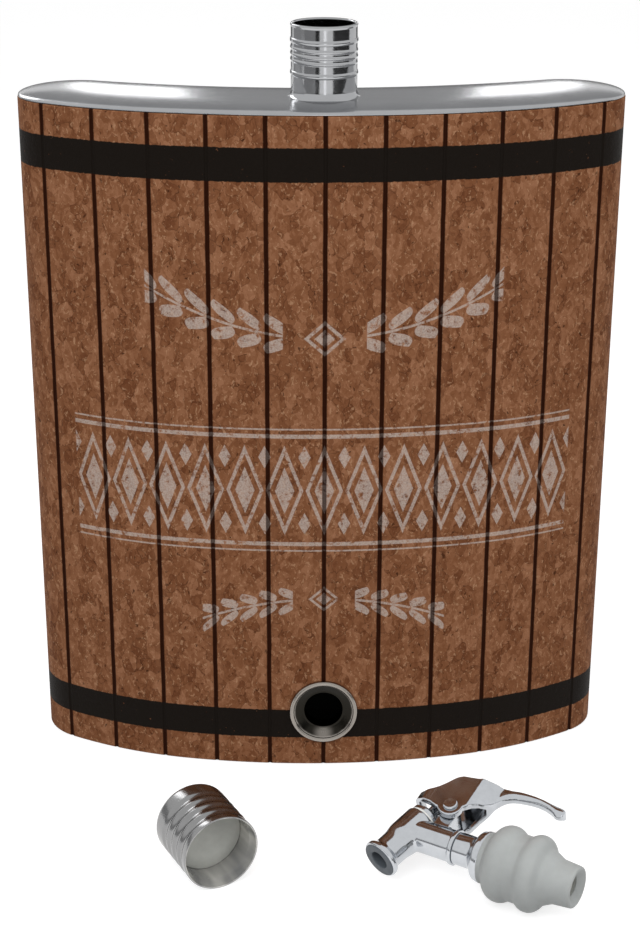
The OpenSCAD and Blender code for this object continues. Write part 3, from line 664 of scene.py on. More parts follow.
def collar_finish(context):
    """Polished steel on the collar's lip, with painted shade coloured over its dish and a painted highlight low
    down in the dish.
    """
    s, tint = context.scene.flask_sizes, context.scene.flask_finishes
    finish = metal("Collar steel", tint.collar, rough=0.2, spread=0.10, cloud=150.0, bump=0.08)
    w, shader, polished = taken_further(finish)
    where = w.where()
    split = w.node("ShaderNodeSeparateXYZ", links={0: where}).outputs
    across, up = w.mul(split[0], PER_M), w.mul(w.sub(split[2], s.hole_height), PER_M)
    # Painted shade: inside the lip the dish is coloured dark in place of the shade and dark reflection of the
    # recess.
    shade_reach = w.add(w.hypot(across, up), w.mul(w.noise(where, 500.0, 3.0), 0.5))
    dish = w.fall(shade_reach, (s.collar_radius - s.collar_lip) * PER_M, 0.7)
    # Painted highlight: a paler patch low in the dish.
    painted_sheen = w.mul(w.fall(up, -7.6, 2.6), w.fall(w.size(across), 2.6, 4.0))
    shade_and_sheen = w.mix(w.mul(painted_sheen, 0.6), tuple(tint.dish), tuple(tint.collar))
    w.put(w.mix(dish, polished, shade_and_sheen), shader.inputs["Base Color"])
    return finish


def tube_finish(context, place):
    """Bright plating with a pale lining in the tube's bore."""
    s, tint = context.scene.tap_sizes, context.scene.flask_finishes
    finish = chrome_finish(context, "Lined plating")
    w, shader, plated = taken_further(finish)
    split = w.node("ShaderNodeSeparateXYZ", links={0: w.laid_along(place)}).outputs
    radius = w.mul(w.hypot(split[0], split[1]), PER_M)
    within = w.fall(radius, (s.tube_bore + 0.0004) * PER_M, 0.1)
    w.put(w.mix(within, plated, tuple(tint.liner)), shader.inputs["Base Color"])
    w.put(w.sub(1.0, within), shader.inputs["Metallic"])
    return finish


def cap_finish(context, place):
    """Dull steel outside, and brighter, streaked steel inside the cap."""
    s, tint = context.scene.cap_sizes, context.scene.flask_finishes
    finish = metal("Cap steel", tint.cap, rough=0.18, spread=0.10, cloud=110.0, bump=0.08)
    w, shader, outside = taken_further(finish)
    axis = w.laid_along(place)
    split = w.node("ShaderNodeSeparateXYZ", links={0: axis}).outputs
    plain, middle = s.rib_pitch / 2, s.radius - s.wall / 2
    skin = w.span(split[2], plain, plain * 2, middle, middle - s.rib_depth)
    within = w.fall(w.mul(w.sub(w.hypot(split[0], split[1]), skin), PER_M), 0.0, 0.1)
    long_way = w.node("ShaderNodeMapping", links={0: axis}, values={"Scale": (1.0, 1.0, 0.12)}).outputs[0]
    streak = w.span(w.noise(long_way, 150.0, 2.0), 0.35, 0.65)
    inside = w.mix(streak, tuple(tint.cap), tuple(tint.cap_inside))
    w.put(w.mix(within, outside, inside), shader.inputs["Base Color"])
    w.put(w.span(within, 0.0, 1.0, 1.0, 0.5), shader.inputs["Metallic"])
    return finish


def ornament(w, u, v, middle=110.0, reach=91.0, pitch=14.0):
    """Mask of a pale generic border, in millimetres: a row of lozenges and seeds between two pairs of rules."""
    broad_rule, fine_rule = 20.4, 23.0
    wide, tall = 6.6, 17.0
    seed_wide, seed_tall, seed_off = 2.2, 4.2, 12.6
    off, half_u = w.size(w.sub(v, middle)), w.size(u)
    inside = w.fall(half_u, reach, 0.6)
    rules = w.most(w.fall(w.size(w.sub(off, broad_rule)), 0.75, 0.25),
                   w.fall(w.size(w.sub(off, fine_rule)), 0.3, 0.25))
    cell = w.size(w.sub(w.math("MODULO", w.add(half_u, pitch / 2), pitch), pitch / 2))
    lozenge = w.add(w.mul(cell, 1.0 / wide), w.mul(off, 1.0 / tall))
    outline = w.least(w.fall(lozenge, 1.0, 0.05), w.sub(1.0, w.fall(lozenge, 0.80, 0.05)))
    heart = w.fall(lozenge, 0.52, 0.05)
    seed = w.add(w.mul(w.sub(pitch / 2, cell), 1.0 / seed_wide),
                 w.mul(w.size(w.sub(off, seed_off)), 1.0 / seed_tall))
    band = w.mul(w.most(rules, outline, heart, w.fall(seed, 1.0, 0.08)), inside)
    return band, half_u


def sprigs(w, v, half_u, level, rise, reach, leaf):
    """Mask of two sprigs of leaves that run out from a small lozenge, in millimetres."""
    line = w.add(level, w.mul(w.math("POWER", w.mul(half_u, 1.0 / reach), 2.0), rise))
    off = w.sub(v, line)
    live = w.mul(w.fall(half_u, reach, 0.6), w.sub(1.0, w.fall(half_u, leaf * 1.6, 0.4)))
    stalk = w.fall(w.size(off), 0.45, 0.25)
    phase = w.math("MODULO", w.add(half_u, w.mul(w.size(off), -0.9)), leaf)
    tip = w.size(w.sub(phase, leaf / 2))
    side = w.mul(w.sub(w.size(off), leaf * 0.42), 2.7 / leaf)
    blade = w.fall(w.add(w.mul(tip, 2.6 / leaf), w.math("POWER", side, 2.0)), 1.0, 0.12)
    knot = w.add(w.mul(half_u, 1.0 / (leaf * 0.8)), w.mul(w.size(w.sub(v, level)), 1.0 / (leaf * 0.7)))
    gem = w.most(w.fall(knot, 0.5, 0.08),
                 w.least(w.fall(knot, 1.0, 0.08), w.sub(1.0, w.fall(knot, 0.76, 0.08))))
    return w.most(w.mul(w.most(stalk, blade), live), gem)


def cork_finish(context):
    """Pressed cork granules, burnt stave lines, painted hoops and a worn pale print."""
    s, tint = context.scene.flask_sizes, context.scene.flask_finishes
    granules, grains = 300.0, 860.0
    finish, w, shader, place = new_finish("Pressed cork")
    wander = w.node("ShaderNodeTexNoise", links={"Vector": place}, values={"Scale": 210.0, "Detail": 3.0})
    bent = w.node("ShaderNodeVectorMath", operation="MULTIPLY_ADD",
                  links={0: wander.outputs["Color"], 2: place}, values={1: (0.004, 0.004, 0.004)}).outputs[0]
    tall = w.node("ShaderNodeMapping", links={"Vector": bent}, values={"Scale": (1.0, 1.0, 0.62)}).outputs[0]
    big = w.node("ShaderNodeTexVoronoi", links={"Vector": tall}, values={"Scale": granules})
    small = w.node("ShaderNodeTexVoronoi", links={"Vector": tall}, values={"Scale": grains})
    shade_big = w.node("ShaderNodeSeparateColor", links={0: big.outputs["Color"]}).outputs[0]
    shade_small = w.node("ShaderNodeSeparateColor", links={0: small.outputs["Color"]}).outputs[0]
    fine = w.noise(place, 1500.0, 4.0, 0.65)
    blend = w.add(w.add(w.mul(shade_big, 0.36), w.mul(shade_small, 0.30)), w.mul(fine, 0.34))
    ramp = w.node("ShaderNodeValToRGB", links={"Fac": blend})
    ramp.color_ramp.elements[0].position = 0.22
    ramp.color_ramp.elements[0].color = tuple(tint.cork_dark)
    ramp.color_ramp.elements[1].position = 0.80
    ramp.color_ramp.elements[1].color = tuple(tint.cork_light)
    middle = ramp.color_ramp.elements.new(0.50)
    middle.color = tuple(tint.cork_mid)
    seam = w.node("ShaderNodeTexVoronoi", feature="DISTANCE_TO_EDGE", links={"Vector": tall},
                  values={"Scale": granules})
    crack = w.mul(w.fall(seam.outputs["Distance"], 0.03, 0.05), w.fall(shade_big, 0.4, 0.3))
    pits = w.mul(w.sub(1.0, w.fall(w.noise(tall, 760.0, 2.0), 0.70, 0.06)), 0.7)
    chips = w.sub(1.0, w.fall(w.noise(tall, 980.0, 3.0, 0.6), 0.62, 0.07))
    bark = w.mix(w.mul(chips, 0.55), ramp.outputs[0], tuple(tint.cork_chip))
    bark = w.mix(w.most(w.mul(crack, 0.35), pits), bark, tuple(tint.stave_line))

    chart = w.node("ShaderNodeUVMap", uv_map="Wall")
    split = w.node("ShaderNodeSeparateXYZ", links={0: chart.outputs[0]})
    u, v = w.mul(split.outputs[0], PER_M), w.mul(split.outputs[1], PER_M)
    pitch = Plan(s).half * 2 * PER_M / s.staves
    shift = pitch * 400.0       # whole staves, so that no length is negative
    wear = w.noise(place, 420.0, 5.0, 0.72)
    waver = w.mul(w.sub(w.noise(place, 90.0, 2.0), 0.5), 0.35)
    cell = w.math("PINGPONG", w.add(u, w.add(waver, shift)), pitch / 2)
    half_line, half_hoop = s.line_width * PER_M / 2, s.hoop_width * PER_M / 2
    line = w.fall(cell, half_line * 1.15, half_line * 0.7)
    rub = w.fall(w.size(w.sub(cell, half_line * 2.6)), half_line * 1.4, half_line * 2.0)

    band, half_u = ornament(w, u, v)
    above = sprigs(w, v, half_u, level=166.0, rise=17.0, reach=62.0, leaf=9.0)
    below = sprigs(w, v, half_u, level=68.0, rise=-9.0, reach=44.0, leaf=7.0)
    worn = w.mul(w.fall(wear, 0.585, 0.16), w.span(w.noise(place, 1900.0, 3.0), 0.25, 0.6, 0.45, 1.0))
    print_mask = w.mul(w.mul(w.most(band, above, below), worn), w.sub(1.0, w.mul(line, 0.8)))
    face = w.mix(w.mul(rub, 0.16), bark, tuple(tint.cork_light))
    face = w.mix(line, face, tuple(tint.stave_line))
    face = w.mix(w.mul(print_mask, 0.78), face, tuple(tint.ink))

    edge = w.mul(w.sub(w.noise(place, 700.0, 3.0), 0.5), 0.7)
    height = w.add(v, edge)
    hoops = w.most(*(w.fall(w.size(w.sub(height, level * PER_M)), half_hoop, 0.3)
                     for level in (s.low_hoop, s.high_hoop)))
    flecks = w.sub(1.0, w.fall(w.noise(place, 640.0, 4.0, 0.7), 0.70, 0.04))
    paint = w.mul(hoops, w.sub(1.0, w.mul(flecks, 0.7)))
    face = w.mix(paint, face, tuple(tint.hoop))
    w.put(face, shader.inputs["Base Color"])
    w.put(w.add(w.span(fine, 0.3, 0.7, 0.62, 0.82), w.mul(paint, -0.12)), shader.inputs["Roughness"])
    height_of = w.sub(w.add(w.mul(fine, 0.5), w.mul(shade_small, 0.35)), w.add(w.mul(crack, 0.6), pits))
    w.dent(shader, height_of, 0.55, 0.00016)
    shader.inputs["Specular IOR Level"].default_value = 0.06
    return finish


class FLASK_OT_cork_wrap(bpy.types.Operator):
    """Cork wrap round the flask, with its lines between the staves and its cut for the collar"""

    bl_idname = "flask_dispenser.cork_wrap"
    bl_label = "Cork wrap"

    def execute(self, context):
        s = context.scene.flask_sizes
        plan = Plan(s)
        pitch, half_line = 2 * plan.half / s.staves, s.line_width / 2
        steps, bevel = 12, 0.00025
        groove = ((0.0, 1.0), (0.55, 0.92), (1.0, 0.0))     # share of the line's half width, share of its depth
        start, stop = -pitch / 2 + half_line * 1.5, pitch / 2 - half_line * 1.5
        stops = []
        for k in range(s.staves):
            middle = (k - s.staves / 2 + 0.5) * pitch
            stops += [(middle - pitch / 2 + f * half_line, d) for f, d in groove]
            stops += [(middle + start + (stop - start) * i / steps, 0.0) for i in range(steps + 1)]
            stops += [(middle + pitch / 2 - f * half_line, d) for f, d in groove[:0:-1]]
        rings = []
        for inset, z, cut in ((s.cork, s.cork_lift, 0), (bevel, s.cork_lift, 1), (0, s.cork_lift + bevel, 1),
                              (0, s.height - bevel, 1), (bevel, s.height, 1), (s.cork, s.height, 0),
                              (s.cork, s.cork_lift, 0)):
            rings.append([plan.at(a, inset + cut * d * s.line_depth).to_3d() + Vector((0, 0, z))
                          for a, d in stops])
        piece = ringed("Cork_wrap", rings)
        close_up(piece)
        begin()
        bpy.ops.mesh.primitive_cylinder_add(
            vertices=96, radius=s.collar_radius - 2 * HAIR, depth=s.depth,
            location=(0, -s.depth / 2, s.hole_height), rotation=(math.pi / 2, 0, 0))
        punch = bpy.context.object
        apply_modifier(piece, "BOOLEAN", operation="DIFFERENCE", solver="EXACT", object=punch)
        bpy.data.objects.remove(punch)
        chart = piece.data.uv_layers.new(name="Wall")
        for face in piece.data.polygons:
            right = face.center.x >= 0
            for loop in face.loop_indices:
                p = piece.data.vertices[piece.data.loops[loop].vertex_index].co
                along = plan.along(p.x, p.y)
                if (p.x >= 0) != right and abs(p.x) > 1e-7:
                    along = 2 * plan.half - along if along > plan.half / 2 else -along
                chart.data[loop].uv = (along if right else -along, p.z)
        shade(piece, 30.0)
        settle(piece, "flask", "cork", cork_finish(context), "cork_wrap")
        return {"FINISHED"}


class FLASK_OT_steel_top(bpy.types.Operator):
    """Crowned steel top, with the steel walls and the base plate under the cork"""

    bl_idname = "flask_dispenser.steel_top"
    bl_label = "Steel top"

    def execute(self, context):
        s = context.scene.flask_sizes
        plan = Plan(s)
        count, steps = 320, 24
        gap, bevel = 0.0002, 0.0001
        stops = [plan.half * (2.0 * i / count - 1.0) for i in range(count)]
        top = [(s.cork * 0.9, gap), (s.edge_inset + bevel, gap), (s.edge_inset, gap + bevel),
               (s.edge_inset, s.edge - bevel)]
        for i in range(steps + 1):
            t = math.radians(90.0 * i / steps)
            top.append((s.crown_width - (s.crown_width - s.edge_inset) * math.cos(t),
                        s.edge + (s.crown - s.edge) * math.sin(t)))
        rings = [[plan.at(a, inset).to_3d() + Vector((0, 0, s.height + z)) for a in stops] for inset, z in top]
        piece = ringed("Steel_top", rings)
        bpy.ops.mesh.edge_face_add()
        bpy.ops.mesh.quads_convert_to_tris(ngon_method="BEAUTY")
        bpy.ops.object.mode_set(mode="OBJECT")
        close_up(piece, 1e-7)
        apply_modifier(piece, "SOLIDIFY", thickness=s.sheet * 0.4, offset=-1.0)
        shade(piece, 40.0)
        settle(piece, "flask", "steel", steel_finish(context), "top_plate")
        tint = context.scene.flask_finishes.inside
        inside = metal("Unpolished steel", tint, rough=0.5, spread=0.12, cloud=90.0, bump=0.1)
        dress(inside, "front_wall", "left_wall", "right_wall", "back_wall", "base_plate")
        return {"FINISHED"}


class FLASK_OT_neck(bpy.types.Operator):
    """Threaded neck with its flared foot, beads and rolled lip"""

    bl_idname = "flask_dispenser.neck"
    bl_label = "Neck"

    def execute(self, context):
        s = context.scene.flask_sizes
        r, inner = s.neck_radius, s.neck_radius - s.neck_wall
        crown, lip = s.height + s.crown, s.height + s.neck_height
        foot = crown + s.foot_height
        flare = s.foot_radius - r
        sunk, edge, steps = 0.0013, 0.0003, 12
        profile = [(inner, crown - sunk), (s.foot_radius, crown - sunk), (s.foot_radius, crown - edge)]
        for i in range(1, steps + 1):
            t = math.radians(90.0 * i / steps)
            profile.append((s.foot_radius - flare * math.sin(t), foot - (s.foot_height + edge) * math.cos(t)))
        low, high = foot + s.bead_rise, lip - s.lip_band
        bead_half, rise = 0.00085, 0.00012
        z = foot + edge
        while z < lip - 0.0010:
            swell = 0.0
            for bead in (low, high):
                off = abs(z - bead) / bead_half
                if off < 1.0:
                    swell = s.ridge * math.sqrt(1.0 - off * off)
            profile.append((r + swell, z))
            z += rise
        rim = s.neck_wall / 2 + 0.0001
        profile += arc(inner + rim, lip - rim, rim, 0, 180, 12)
        profile += [(inner, lip - 0.0012), (inner, crown - sunk)]
        piece = turned("Neck", profile, Matrix.Identity(4), segments=144)

        top, turns, thread_half = high - 0.0011, 2.7, 0.00065
        for v in piece.data.vertices:
            radius = math.hypot(v.co.x, v.co.y)
            down = top - v.co.z
            if abs(radius - r) > 2e-5 or not 0.0 < down < s.thread_pitch * turns + 0.0012:
                continue
            lap = (math.atan2(v.co.y, v.co.x) / math.tau) % 1.0
            lift = 0.0
            for k in range(4):
                at = lap + k - 0.35
                off = abs(down - 0.0009 - at * s.thread_pitch) / thread_half
                fade = min(1.0, max(0.0, at * 6.0), max(0.0, (turns - at) * 6.0))
                if off < 1.0:
                    lift = max(lift, fade * s.ridge * 0.75 * math.cos(off * math.pi / 2))
            v.co.x *= 1.0 + lift / radius
            v.co.y *= 1.0 + lift / radius
        shade(piece, 40.0)
        tint = context.scene.flask_finishes.steel
        bright = metal("Neck steel", tint, rough=0.07, spread=0.04, cloud=60.0, bump=0.05)
        settle(piece, "flask", "steel", bright, "neck_tube")
        return {"FINISHED"}


class FLASK_OT_collar(bpy.types.Operator):
    """Dished steel collar of the tap hole"""

    bl_idname = "flask_dispenser.collar"
    bl_label = "Tap hole collar"

    def execute(self, context):
        s = context.scene.flask_sizes
        front, lip = -s.collar_proud, s.collar_lip / 2
        floor_z = front + s.cup_depth
        mouth = s.collar_radius - s.collar_lip
        end = s.cork + s.sheet + s.hole_sleeve
        edge = 0.0003
        profile = [(s.hole_radius, end), (s.hole_radius, floor_z + edge)]
        profile += arc(s.hole_radius + edge, floor_z + edge, edge, 180, 270, 5)
        wall_foot = s.step_radius - lip
        profile += [(wall_foot - 0.0004, floor_z), (wall_foot, floor_z - 0.00008),
                    (wall_foot + 0.0004, floor_z - 0.0003)]
        profile += [(mouth - 0.0005, front + lip + 0.00035), (mouth - 0.0001, front + lip + 0.0001)]
        profile += arc(s.collar_radius - lip, front + lip, lip, 180, 360, 16)
        profile += [(s.collar_radius, s.cork - HAIR), (s.step_radius, s.cork - HAIR), (s.step_radius, end),
                    (s.hole_radius, end)]
        place = Matrix.Translation((0, -s.depth / 2, s.hole_height)) @ Matrix.Rotation(-math.pi / 2, 4, "X")
        piece = turned("Tap_hole_collar", profile, place, segments=128, degrees=30.0)
        settle(piece, "flask", "steel", collar_finish(context), "spigot_collar")
        return {"FINISHED"}


class FLASK_OT_cap(bpy.types.Operator):
    """Ribbed screw cap on its side, with its liner"""

    bl_idname = "flask_dispenser.cap"
    bl_label = "Screw cap"

    def execute(self, context):
        s, tint = context.scene.cap_sizes, context.scene.flask_finishes
        plain = s.rib_pitch / 2

        def wave(z):
            if not plain < z < plain + s.ribs * s.rib_pitch:
                return 0.0
            return s.rib_depth * (0.5 - 0.5 * math.cos(math.tau * (z - plain) / s.rib_pitch)) ** 0.8

        per_rib = 16
        heights = [plain + i * s.rib_pitch / per_rib for i in range(s.ribs * per_rib + 1)]
        inner = s.radius - s.wall
        profile = arc(s.radius - s.wall / 2, s.wall / 2, s.wall / 2, 180, 360, 10)
        profile += [(s.radius - wave(z), z) for z in heights]
        profile += arc(s.radius - s.rounding, s.height - s.rounding, s.rounding, 0, 90, 14)
        profile += [(0.0, s.height)]
        skin = [(0.0, s.height - s.wall)]
        skin += arc(s.radius - s.rounding, s.height - s.rounding, s.rounding - s.wall, 90, 0, 10)
        skin += [(inner - s.rib_depth * min(1.0, (z - plain) / plain), z) for z in reversed(heights)]
        skin += [profile[0]]
        place = (Matrix.Translation((s.x, s.y, s.radius)) @ Matrix.Rotation(s.turn, 4, "Z")
                 @ Matrix.Rotation(-math.pi / 2, 4, "X") @ Matrix.Translation((0, 0, -s.height / 2)))
        piece = turned("Screw_cap", profile + skin, place, segments=128, degrees=40.0)
        settle(piece, "cap", "cap_steel", cap_finish(context, place), "cap_shell")
        rim, face, hollow = inner - s.rib_depth - HAIR, s.liner_depth, 0.0004
        disc = [(0.0, face + hollow), (rim * 0.55, face + hollow), (rim * 0.6, face + 0.0001)]
        disc += [(rim - 0.0005, face), (rim - 0.0001, face + 0.00015), (rim, face + 0.0006)]
        disc += [(rim, face + s.liner), (0.0, face + s.liner)]
        piece = turned("Cap_liner", disc, place, segments=96)
        white = moulded("White liner", tint.liner, shade_of=0.86, scale=170.0, bump=0.2)
        settle(piece, "cap", "liner", white, "cap_liner")
        return {"FINISHED"}


def evened(row):
    """The inner values of a row, each evened out with its neighbours."""
    return [(a + 2 * b + c) / 4 for a, b, c in zip(row, row[1:], row[2:])]


def tap_place(s):
    """Where the tap lies: its barrel at the origin, its tube along X, before it is laid down."""
    return (Matrix.Translation((s.x, s.y, s.ring_radius)) @ Matrix.Rotation(-s.turn, 4, "Z")
            @ Matrix.Rotation(s.lie - math.pi / 2, 4, "X")
            @ Matrix.Translation((-(s.flange + s.first_ring), 0, 0)))


def up_barrel(s):
    """The barrel's axis as Z."""
    return tap_place(s) @ Matrix.Rotation(s.lean, 4, "Y")


def fillets(s, spots):
    """Fillets of a casting where the tap lies."""
    return [(tap_place(s) @ Vector(spot), reach, rounds) for spot, reach, rounds in spots]


def along_tube(s, x=0.0):
    """The inlet tube's axis as Z, from a distance behind the barrel on."""
    return tap_place(s) @ Matrix.Translation((x, 0, 0)) @ Matrix.Rotation(math.pi / 2, 4, "Y")


class FLASK_OT_tap_body(bpy.types.Operator):
    """Plated tap body with its spout, grey sleeve, inlet tube, bonnet and gasket"""

    bl_idname = "flask_dispenser.tap_body"
    bl_label = "Tap body"

    def execute(self, context):
        s, tint = context.scene.tap_sizes, context.scene.flask_finishes
        chrome = chrome_finish(context)
        piece = cast("Tap_body", "tap_body", CAST_VOXEL, 7, fillets(s, BODY_FILLETS))
        settle(piece, "tap", "tap_chrome", chrome, "tap_body")

        bore, outer, drop = s.sleeve_bore, s.spout_bore - HAIR, -s.spout_drop
        profile = [(bore, drop + s.sleeve_length), (bore, drop + 0.0005)]
        profile += arc(bore + 0.0004, drop + 0.0001, 0.0004, 180, 270, 5)
        profile += arc(s.lip_radius - 0.0008, drop - 0.0001, 0.0002, 270, 450, 6)
        profile += [(outer, drop + 0.0001), (outer, drop + s.sleeve_length), (bore, drop + s.sleeve_length)]
        piece = turned("Spout_sleeve", profile, up_barrel(s), segments=64)
        grey = moulded("Grey sleeve", tint.sleeve, shade_of=0.8, scale=300.0, bump=0.25)
        settle(piece, "tap", "sleeve", grey, "spout_sleeve")

        r, tail, joint, flange = s.tube_radius, s.tail_radius - HAIR, s.joint + HAIR, s.flange
        end = flange + s.bung_length - s.tail_radius / 2
        edge, plug, steps = 0.0003, 0.0035, 16
        wide, neck = s.tube_bore + edge, (s.joint + flange) / 2
        profile = [(wide, joint - plug), (tail, joint - plug), (tail, joint), (r - edge, joint)]
        profile += arc(r - edge, joint + edge, edge, -90, 0, 4)
        for i in range(steps + 1):
            f = i / steps
            sweep = f * f * f * (10 - 15 * f + 6 * f * f)
            profile.append((r + (s.flange_radius - edge - r) * sweep, neck + (flange - 0.0016 - neck) * f))
        profile += arc(s.flange_radius - 0.0005, flange - 0.0009, 0.0005, 60, 0, 4)
        profile += [(s.flange_radius, flange - edge), (s.flange_radius - 0.0002, flange), (tail, flange)]
        profile += [(tail, end), (s.tube_bore, end), (s.tube_bore, flange), (wide, flange - edge),
                    (wide, joint - plug)]
        piece = turned("Inlet_tube", profile, along_tube(s), segments=96)
        settle(piece, "tap", "tap_chrome", tube_finish(context, along_tube(s)), "inlet_tube")

        piece = cast("Bonnet", "bonnet", BONNET_VOXEL, 4)
        settle(piece, "tap", "tap_chrome", chrome, "bonnet")
        dress(moulded("White gasket", tint.valve, shade_of=0.85, scale=300.0, bump=0.2), "bonnet_gasket")
        return {"FINISHED"}


class FLASK_OT_bung(bpy.types.Operator):
    """Soft bung with its two rings and its tapered shank"""

    bl_idname = "flask_dispenser.bung"
    bl_label = "Bung"

    def execute(self, context):
        s, tint = context.scene.tap_sizes, context.scene.flask_finishes
        second = s.ring_rounding * 0.8
        x1, x2 = s.first_ring, s.first_ring + s.ring_pitch
        tail_x = x2 + s.ring_rounding * 1.6
        slopes = [(0, s.flange_radius), (x1 - s.ring_rounding, s.ring_radius - s.ring_rounding + 0.0008),
                  (x1, s.groove_radius), (x2, s.groove_radius), (x2 + second / 2, s.ring_radius - second * 0.7),
                  (tail_x - second, s.shank_radius + second / 2), (tail_x, s.shank_radius),
                  (s.bung_length, s.shank_end)]

        def reach(x):
            best = s.shank_end
            for (xa, ra), (xb, rb) in zip(slopes, slopes[1:]):
                if xa <= x <= xb:
                    best = ra + (rb - ra) * (x - xa) / (xb - xa)
            for middle, rounding in ((x1, s.ring_rounding), (x2, second)):
                off = x - middle
                if abs(off) < rounding:
                    best = max(best, s.ring_radius - rounding + math.sqrt(rounding * rounding - off * off))
            return best

        count, waist = 150, 0.0105
        last = s.bung_length - HAIR
        xs = [last * i / count for i in range(count + 1)]
        radii = [reach(x) for x in xs]
        for _ in range(10):
            radii[1:-1] = evened(radii)
        top = max(radii)
        radii = [r + (s.ring_radius - top) * max(0.0, (r - waist) / (top - waist)) for r in radii]
        end, edge = radii[-1], 0.0007
        lip, mouth = s.tube_bore + 0.0002, last - s.tail_radius / 2 + 0.00007
        profile = [(end - 0.0009, last), (lip, mouth + 0.0003), (lip, mouth), (s.tail_radius, mouth),
                   (s.tail_radius, 0.0)]
        profile += list(zip(radii, xs))[:-4]
        profile += arc(end - edge, last - edge, edge, 0, 90, 6) + [(end - 0.0009, last)]
        piece = turned("Bung", profile, along_tube(s, s.flange + HAIR), segments=128, degrees=50.0)
        soft = moulded("White silicone", tint.silicone, shade_of=0.9, scale=120.0, bump=0.22, subsurface=0.12)
        settle(piece, "tap", "silicone", soft, "bung")
        return {"FINISHED"}


def round_sides(piece, place, start, share, pitch=0.0005, run=0.004):
    """Rounds the sides of a bar along X from a start on; its outline seen from the side stays."""
    back = place.inverted()
    spots = [back @ v.co for v in piece.data.vertices]
    first = min(q.x for q in spots)
    count = int((max(q.x for q in spots) - first) / pitch) + 1
    high, low = [-1.0] * count, [1.0] * count
    for q in spots:
        i = int((q.x - first) / pitch)
        high[i], low[i] = max(high[i], q.z), min(low[i], q.z)
    for _ in range(6):
        for row in (high, low):
            row[1:-1] = evened(row)
    for v, q in zip(piece.data.vertices, spots):
        i = int((q.x - first) / pitch)
        off = (2.0 * q.z - high[i] - low[i]) / max(high[i] - low[i], 1e-4)
        fade = min(1.0, max(0.0, (q.x - start) / run))
        v.co = place @ Vector((q.x, q.y * (1.0 - share * fade * min(1.0, off * off)), q.z))
    apply_modifier(piece, "SMOOTH", factor=0.5, iterations=6)


class FLASK_OT_lever(bpy.types.Operator):
    """Plated lever with its pivot pin"""

    bl_idname = "flask_dispenser.lever"
    bl_label = "Lever"

    def execute(self, context):
        s = context.scene.tap_sizes
        chrome = chrome_finish(context)
        piece = cast("Lever", "lever", CAST_VOXEL, 10, fillets(s, LEVER_FILLETS))
        round_sides(piece, tap_place(s), TAIL_START, TAIL_ROUNDING)
        settle(piece, "lever", "tap_chrome", chrome, "lever")
        half, head, edge = s.lever_width / 2 + 0.00008, 0.0008, 0.0005
        profile = [(0.0, -half - head)]
        profile += arc(s.pin_head - edge, -half - head + edge, edge, -90, 0, 5)
        profile += [(s.pin_head, -half), (s.pin_radius, -half), (s.pin_radius, half), (s.pin_head, half)]
        profile += arc(s.pin_head - edge, half + head - edge, edge, 0, 90, 5)
        profile += [(0.0, half + head)]
        pivot = Matrix.Translation((s.pivot_x, 0, s.pivot_z))
        place = tap_place(s) @ pivot @ Matrix.Rotation(math.pi / 2, 4, "X")
        piece = turned("Lever_pin", profile, place, segments=64)
        settle(piece, "tap", "tap_chrome", chrome, "lever_pin")
        return {"FINISHED"}


class FLASK_OT_valve(bpy.types.Operator):
    """Valve stem with its button, and the cup, spring and seal inside the barrel"""

    bl_idname = "flask_dispenser.valve"
    bl_label = "Valve"

    def execute(self, context):
        s, tint = context.scene.tap_sizes, context.scene.flask_finishes
        chrome = chrome_finish(context)
        r, h, seat = s.button_radius, s.button_height, s.button_seat
        stem, edge, socket = s.stem_radius + HAIR, 0.0004, seat + h / 2 + HAIR
        profile = [(stem, seat), (r - edge, seat)] + arc(r - edge, seat + edge, edge, -90, 0, 4)
        profile += [(r * math.cos(t), seat + h * (0.4 + 0.6 * math.sin(t)))
                    for t in (math.radians(90.0 * i / 16) for i in range(1, 16))]
        profile += [(0.0, seat + h), (0.0, socket), (stem, socket), (stem, seat)]
        piece = turned("Stem_button", profile, up_barrel(s), segments=64, degrees=40.0)
        settle(piece, "stem", "tap_chrome", chrome, "stem_button")
        piece = merged_copy("Valve_stem", "valve_stem")
        shade(piece, 30.0)
        settle(piece, "stem", "tap_chrome", chrome, "valve_stem")
        dress(moulded("White valve cup", tint.valve, shade_of=0.85, scale=260.0, bump=0.2), "valve_cup")
        dress(moulded("Black seal", tint.seal, shade_of=0.7, scale=400.0, bump=0.3), "stem_o_ring")
        piece = merged_copy("Return_spring", "return_spring")
        shade(piece, 30.0)
        wire = metal("Spring wire", tint.steel, rough=0.22, spread=0.1, cloud=300.0, bump=0.1)
        settle(piece, "tap", "spring", wire, "return_spring")
        axis = up_barrel(s).to_3x3() @ Vector((0, 0, 1))
        top = max((v.co for v in piece.data.vertices), key=axis.dot).copy()
        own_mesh(piece)
        return {"FINISHED"}


def card(name, size, place, turn, level):
    """An upright board out of view that the bright metal mirrors."""
    begin()
    bpy.ops.mesh.primitive_plane_add(size=1.0, location=place, rotation=(math.pi / 2, 0, math.radians(turn)))
    board = name_piece(bpy.context.object, name)
    bpy.ops.object.mode_set(mode="EDIT")
    bpy.ops.mesh.select_all(action="SELECT")
    bpy.ops.mesh.subdivide(number_cuts=1)
    bpy.ops.object.mode_set(mode="OBJECT")
    board.scale = (size[0], size[1], 1.0)
    finish = bpy.data.materials.new(name)
    finish.use_nodes = True
    tree = finish.node_tree
    tree.nodes.remove(tree.nodes["Principled BSDF"])
    glow = tree.nodes.new("ShaderNodeEmission")
    glow.inputs["Color"].default_value = (level, level, level * 1.01, 1.0)
    tree.links.new(glow.outputs[0], tree.nodes["Material Output"].inputs["Surface"])
    board.data.materials.append(finish)
    board.visible_camera = False
    board.visible_diffuse = False
    board.visible_shadow = False
    board.visible_transmission = False


